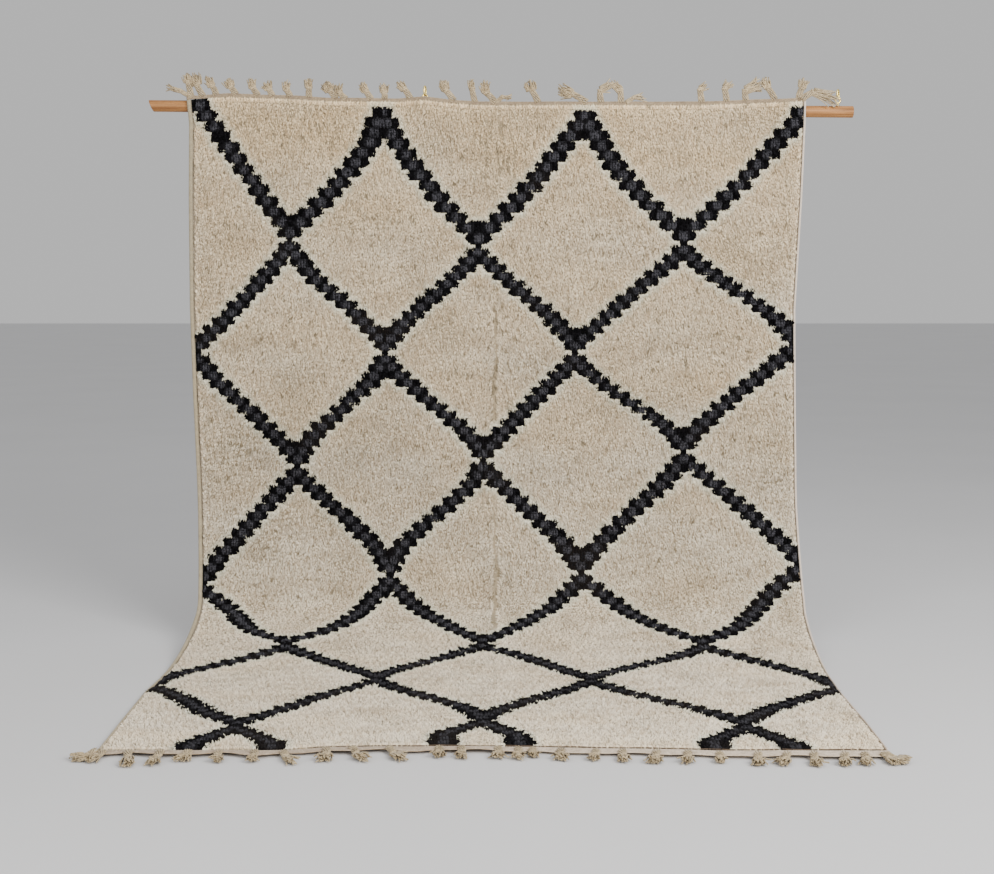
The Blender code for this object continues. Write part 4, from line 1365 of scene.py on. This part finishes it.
def make_front_band():
    """A flat weave: fine wefts side by side over warps, its front edge rising and falling."""
    across = np.linspace(read(EDGES, LENGTH, 1), read(EDGES, LENGTH, 2), 540)[None, :]
    steps = np.linspace(0, 1, FRONT_RIBS * 3 + 1)[:, None]
    over = 0.5 + 0.5 * np.cos(2 * math.pi * steps * FRONT_RIBS)
    phase = math.pi * np.floor(steps * FRONT_RIBS)
    warps = 0.5 + 0.5 * np.sin(2 * math.pi * across / FRONT_WARPS + phase)
    back = HANG_Y - FRONT_END - 0.0003 + read(FRONT_PULL, across)
    waves = 0.0030 * np.sin(across * 38 + 1) + 0.0020 * np.sin(across * 61)
    waves = waves * (1 + 0.9 * np.clip(-across / 0.4, 0, 1))
    forward = back - (read(FRONT_BAND, across) + waves) * steps
    front_lift = FRONT_RISE + read(FRONT_LIFT, across)
    foot = FRONT_BAND_FOOT + (front_lift - FRONT_BAND_FOOT) * steps**0.8
    thick = FRONT_BAND_THICK - 0.0016 * (1 - over) - 0.0008 * warps
    thick = thick * np.sin(np.clip(steps, 0.03, 0.97) * math.pi) ** 0.3
    upper = np.stack(np.broadcast_arrays(across, forward, foot + thick), axis=-1)
    lower = np.stack(np.broadcast_arrays(across, forward, foot + 0.0002), axis=-1)[[-1, 12, 0]]
    points = np.concatenate([upper, lower])
    count, wide = points.shape[:2]
    index = np.arange(count * wide).reshape(count, wide)
    after = np.roll(index, -1, axis=0)
    faces = np.stack([index[:, :-1], after[:, :-1], after[:, 1:], index[:, 1:]], axis=-1)
    faces = faces.reshape(-1, 4)
    ends = np.stack([index[:, 0], index[::-1, -1]])
    # the band's left half is more soiled
    soiled = 0.34 * np.clip(0.5 - points[..., 0].ravel() / 0.2, 0, 1)
    tints = np.stack([soiled, soiled, soiled, np.ones_like(soiled)], axis=1)
    return new_piece("front_band", points.reshape(-1, 3), [faces, ends], tints)


front_band = make_front_band()
front_wool = yarn_material("front_band_wool", *FRONT_BAND_WOOL)
front_band.data.materials.append(front_wool)

# A thin dark cord runs along the front of the pile, from left of the middle to the right edge:
# a painted shadow line where the pile meets the band.
SHADOW_LINE_FROM = -0.43
SHADOW_LINE_RADIUS = 0.0013  # its radius
steps = np.arange(SHADOW_LINE_FROM, read(EDGES, LENGTH, 2) - 0.004, 0.004)
back = HANG_Y - FRONT_END + read(FRONT_PULL, steps) - 0.0016 + 0.0006 * np.sin(steps * 90)
path = np.stack([steps, back, 0.0052 + 0.0005 * np.sin(steps * 47)], axis=1)
thin = SHADOW_LINE_RADIUS * np.minimum(1, 0.15 + (steps - steps[0]) / 0.15)
front_shadow_line = new_piece("front_shadow_line", *tubes(path[None], thin[None], (0, 0, 1), 5))
front_shadow_line.data.materials.append(yarn_material("painted_shadow_line", *SHADOW_LINE_WOOL))

# The tassels lie on the floor in front of the band.
KNOT_AT = 0.34  # how far along its tassel a knot sits
ROOT_HEIGHT = 0.0085
KNOT_HEIGHT = 0.0068
TIP_HEIGHT = 0.0042
FRONT_DEPTH = (-0.0012, 0.0125)  # how low and how high the brushes reach from there
tassels = []
for root, tip_across, tip_forward, spread, threads, curl in FRONT_TASSELS:
    edge = HANG_Y - FRONT_END - read(FRONT_BAND, root) + read(FRONT_PULL, root)
    tassels.append(
        make_tassel(
            (root, edge + 0.010, ROOT_HEIGHT + 0.8 * read(FRONT_LIFT, root)),
            (root + KNOT_AT * tip_across, edge - KNOT_AT * tip_forward, KNOT_HEIGHT),
            (root + tip_across, edge - tip_forward, TIP_HEIGHT),
            spread,
            threads,
            curl,
            (0, 0, 1),
            *FRONT_DEPTH,
        )
    )
front_tassels = new_piece("front_tassels", *join(tassels))
front_tassels.data.materials.append(yarn_material("front_tassel_wool", *FRONT_TASSEL_WOOL))
for piece in (front_band, front_shadow_line, front_tassels):
    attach(piece, "root")
    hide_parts("fringe_front")

# ---------------------------------------------------------------- the pole
# The pole: a plain turned softwood rod, 30 mm thick, sawn askew at its left end and oiled.
# The rug's back lies against it, and two brass eyes on top take its chains.
WOOD_DEEP = (0.200, 0.082, 0.026)
WOOD_PALE = (0.480, 0.228, 0.080)


def wood_material():
    """Oiled wood with its grain along the pole, darker lines and a few pores."""
    material, tree, shader = new_material("oiled_wood", 0.55, specular=0.25)
    stretched = new_node(tree, "Mapping", Vector=own_place(tree), Scale=(4.0, 90.0, 90.0))
    noise = new_node(tree, "TexNoise", Vector=stretched.outputs["Vector"])
    noise.inputs["Scale"].default_value = 1.6
    noise.inputs["Detail"].default_value = 6.0
    noise.inputs["Roughness"].default_value = 0.62
    noise.inputs["Distortion"].default_value = 0.7
    grain = noise.outputs["Fac"]
    ramp = new_node(tree, "ValToRGB", Fac=grain)
    deep, pale = ramp.color_ramp.elements
    deep.position = 0.34
    deep.color = (*WOOD_DEEP, 1)
    pale.position = 0.62
    pale.color = (*WOOD_PALE, 1)
    bump = new_node(tree, "Bump", Strength=0.35, Distance=0.0006, Height=grain)
    feed(tree, shader.inputs["Base Color"], ramp.outputs["Color"])
    feed(tree, shader.inputs["Roughness"], math_node(tree, "MULTIPLY_ADD", grain, -0.25, 0.60))
    feed(tree, shader.inputs["Normal"], bump.outputs["Normal"])
    return material


pole_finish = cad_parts["pole"].data.materials
pole_finish.clear()
pole_finish.append(wood_material())

# ---------------------------------------------------------------- the brass eyes and links
# Two screw eyes of drawn brass wire are screwed into the top of the pole, each with the first link
# of the chain that it hangs from. The brass is bright, with faint uneven tarnish.
BRASS_DEEP = (0.80, 0.55, 0.13)
BRASS_BRIGHT = (1.0, 0.84, 0.34)
WIRE = 0.0046  # its thickness
WIRE_STEPS = 41  # round a ring or link
RING_HALF = (0.0064, 0.0064)  # half its width and height
LINK_HALF = (0.0056, 0.0116)
RING_DROP = 0.0075  # how far the ring's middle lies below the solid's top
# The girth of an eye's neck beside its wire, from the collar up to the ring.
NECK_SHAPE = (1.9, 2.1, 1.9, 1.2, 1.0, 1.0, 1.0, 1.1, 1.2)


def brass_material():
    """Drawn brass wire, bright, with faint uneven tarnish."""
    material, tree, shader = new_material("drawn_brass", 0.28, specular=0.5, metallic=1.0)
    noise = new_node(tree, "TexNoise", Vector=own_place(tree), Scale=260.0, Detail=3.0)
    tarnish = noise.outputs["Fac"]
    bump = new_node(tree, "Bump", Strength=0.2, Distance=0.0002, Height=tarnish)
    feed(tree, shader.inputs["Base Color"], mix_colours(tree, tarnish, BRASS_DEEP, BRASS_BRIGHT))
    feed(tree, shader.inputs["Roughness"], math_node(tree, "MULTIPLY_ADD", tarnish, 0.30, 0.12))
    feed(tree, shader.inputs["Normal"], bump.outputs["Normal"])
    return material


def box_of(node_name):
    """The least and greatest corners of a carried-over solid."""
    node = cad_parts[node_name]
    corners = np.array([node.matrix_world @ corner.co for corner in node.data.vertices])
    return corners.min(axis=0), corners.max(axis=0)


def wire_oval(centre, half, turn):
    """A closed oval of round wire that stands upright, turned about the vertical."""
    angles = np.linspace(0, 2 * math.pi, WIRE_STEPS)
    level = half[0] * np.sign(np.cos(angles)) * np.abs(np.cos(angles)) ** 0.8
    path = [level * math.cos(turn), level * math.sin(turn), half[1] * np.sin(angles)]
    guide = (-math.sin(turn), math.cos(turn), 0.01)
    radii = np.full((1, WIRE_STEPS), WIRE / 2)
    return tubes([centre + np.stack(path, axis=1)], radii, guide, 10)


brass = brass_material()
for place_name, eye_turn, link_turn in (("middle", 0.5, 1.2), ("end", 0.2, 1.0)):
    low, high = box_of("screw_eye_" + place_name)
    middle = (low + high) / 2
    ring = np.array([middle[0], middle[1], high[2] - RING_DROP])
    heights = np.linspace(low[2], ring[2] - 0.006, len(NECK_SHAPE))
    neck = np.array([[middle[0], middle[1], height] for height in heights])
    parts = [
        wire_oval(ring, RING_HALF, eye_turn),
        tubes([neck], [WIRE / 2 * np.array(NECK_SHAPE)], (0, 1, 0), 12),
    ]
    eye = new_piece("brass_eye_" + place_name, *join(parts))
    low, high = box_of("chain_link_" + place_name)
    centre = np.array([middle[0], middle[1], (low[2] + high[2]) / 2 + 0.0004])
    link = new_piece("brass_link_" + place_name, *wire_oval(centre, LINK_HALF, link_turn))
    for piece, node_name in ((eye, "screw_eye_" + place_name), (link, "chain_link_" + place_name)):
        piece.data.materials.append(brass)
        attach(piece, "root")
        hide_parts(node_name)

# ---------------------------------------------------------------- the studio
# A plain pale floor, one large soft light from the upper right, weaker ones from the left and from
# above, and a pale surround. The camera stands 3.3 m in front of the origin and looks a little down.
FLOOR_DULL = (0.62, 0.62, 0.63)
FLOOR_PALE = (0.68, 0.68, 0.69)
FLOOR_HALF = 30.0  # half its width


def make_floor():
    """A wide pale floor, not part of the object."""
    material, tree, shader = new_material("pale_floor", 0.7, specular=0.3)
    cloud = new_node(tree, "TexNoise", Vector=own_place(tree), Scale=1.3, Detail=4.0)
    colour = mix_colours(tree, cloud.outputs["Fac"], FLOOR_DULL, FLOOR_PALE)
    feed(tree, shader.inputs["Base Color"], colour)
    corners = FLOOR_HALF * np.array([(-1, -1, 0), (1, -1, 0), (1, 1, 0), (-1, 1, 0)])
    floor = new_piece("studio_floor", corners, [np.array([[0, 1, 2, 3]])])
    floor.data.materials.append(material)


def add_light(name, place, target, size, power, colour):
    """A square soft light that faces a point."""
    lamp = bpy.data.lights.new(name, "AREA")
    lamp.size = size
    lamp.energy = power
    lamp.color = colour
    light = bpy.data.objects.new(name, lamp)
    light.location = place
    aim = np.array(target) - np.array(place)
    flat = math.hypot(aim[0], aim[1])
    light.rotation_euler = (math.atan2(flat, -aim[2]), 0.0, math.atan2(-aim[0], aim[1]))
    bpy.context.scene.collection.objects.link(light)


make_floor()
add_light("key_light", (2.5, -2.9, 2.5), (0.0, 0.5, 0.7), 2.4, 247, (1.0, 0.985, 0.960))
add_light("fill_light", (-2.2, -3.0, 1.6), (0.0, 0.5, 0.6), 2.4, 59, (1.0, 0.985, 0.965))
add_light("top_light", (0.0, -0.6, 4.2), (0.0, 0.0, 0.0), 3.0, 34, (1.0, 1.0, 1.0))
world = bpy.data.worlds.new("pale_surround")
world.use_nodes = True
world.node_tree.nodes["Background"].inputs["Color"].default_value = (0.80, 0.80, 0.80, 1.0)
world.node_tree.nodes["Background"].inputs["Strength"].default_value = 0.75
bpy.context.scene.world = world

CAMERA_PLACE = (0.0, -3.254, 0.9495)
CAMERA_PITCH = 0.1032  # down, in radians
FOCAL_LENGTH = 55.0  # in millimetres, on a sensor 36 mm wide
lens = bpy.data.cameras.new("view")
lens.lens = FOCAL_LENGTH
lens.sensor_width = 36.0
camera = bpy.data.objects.new("view", lens)
camera.location = CAMERA_PLACE
camera.rotation_euler = (math.pi / 2 - CAMERA_PITCH, 0.0, 0.0)
bpy.context.scene.collection.objects.link(camera)
bpy.context.scene.camera = camera
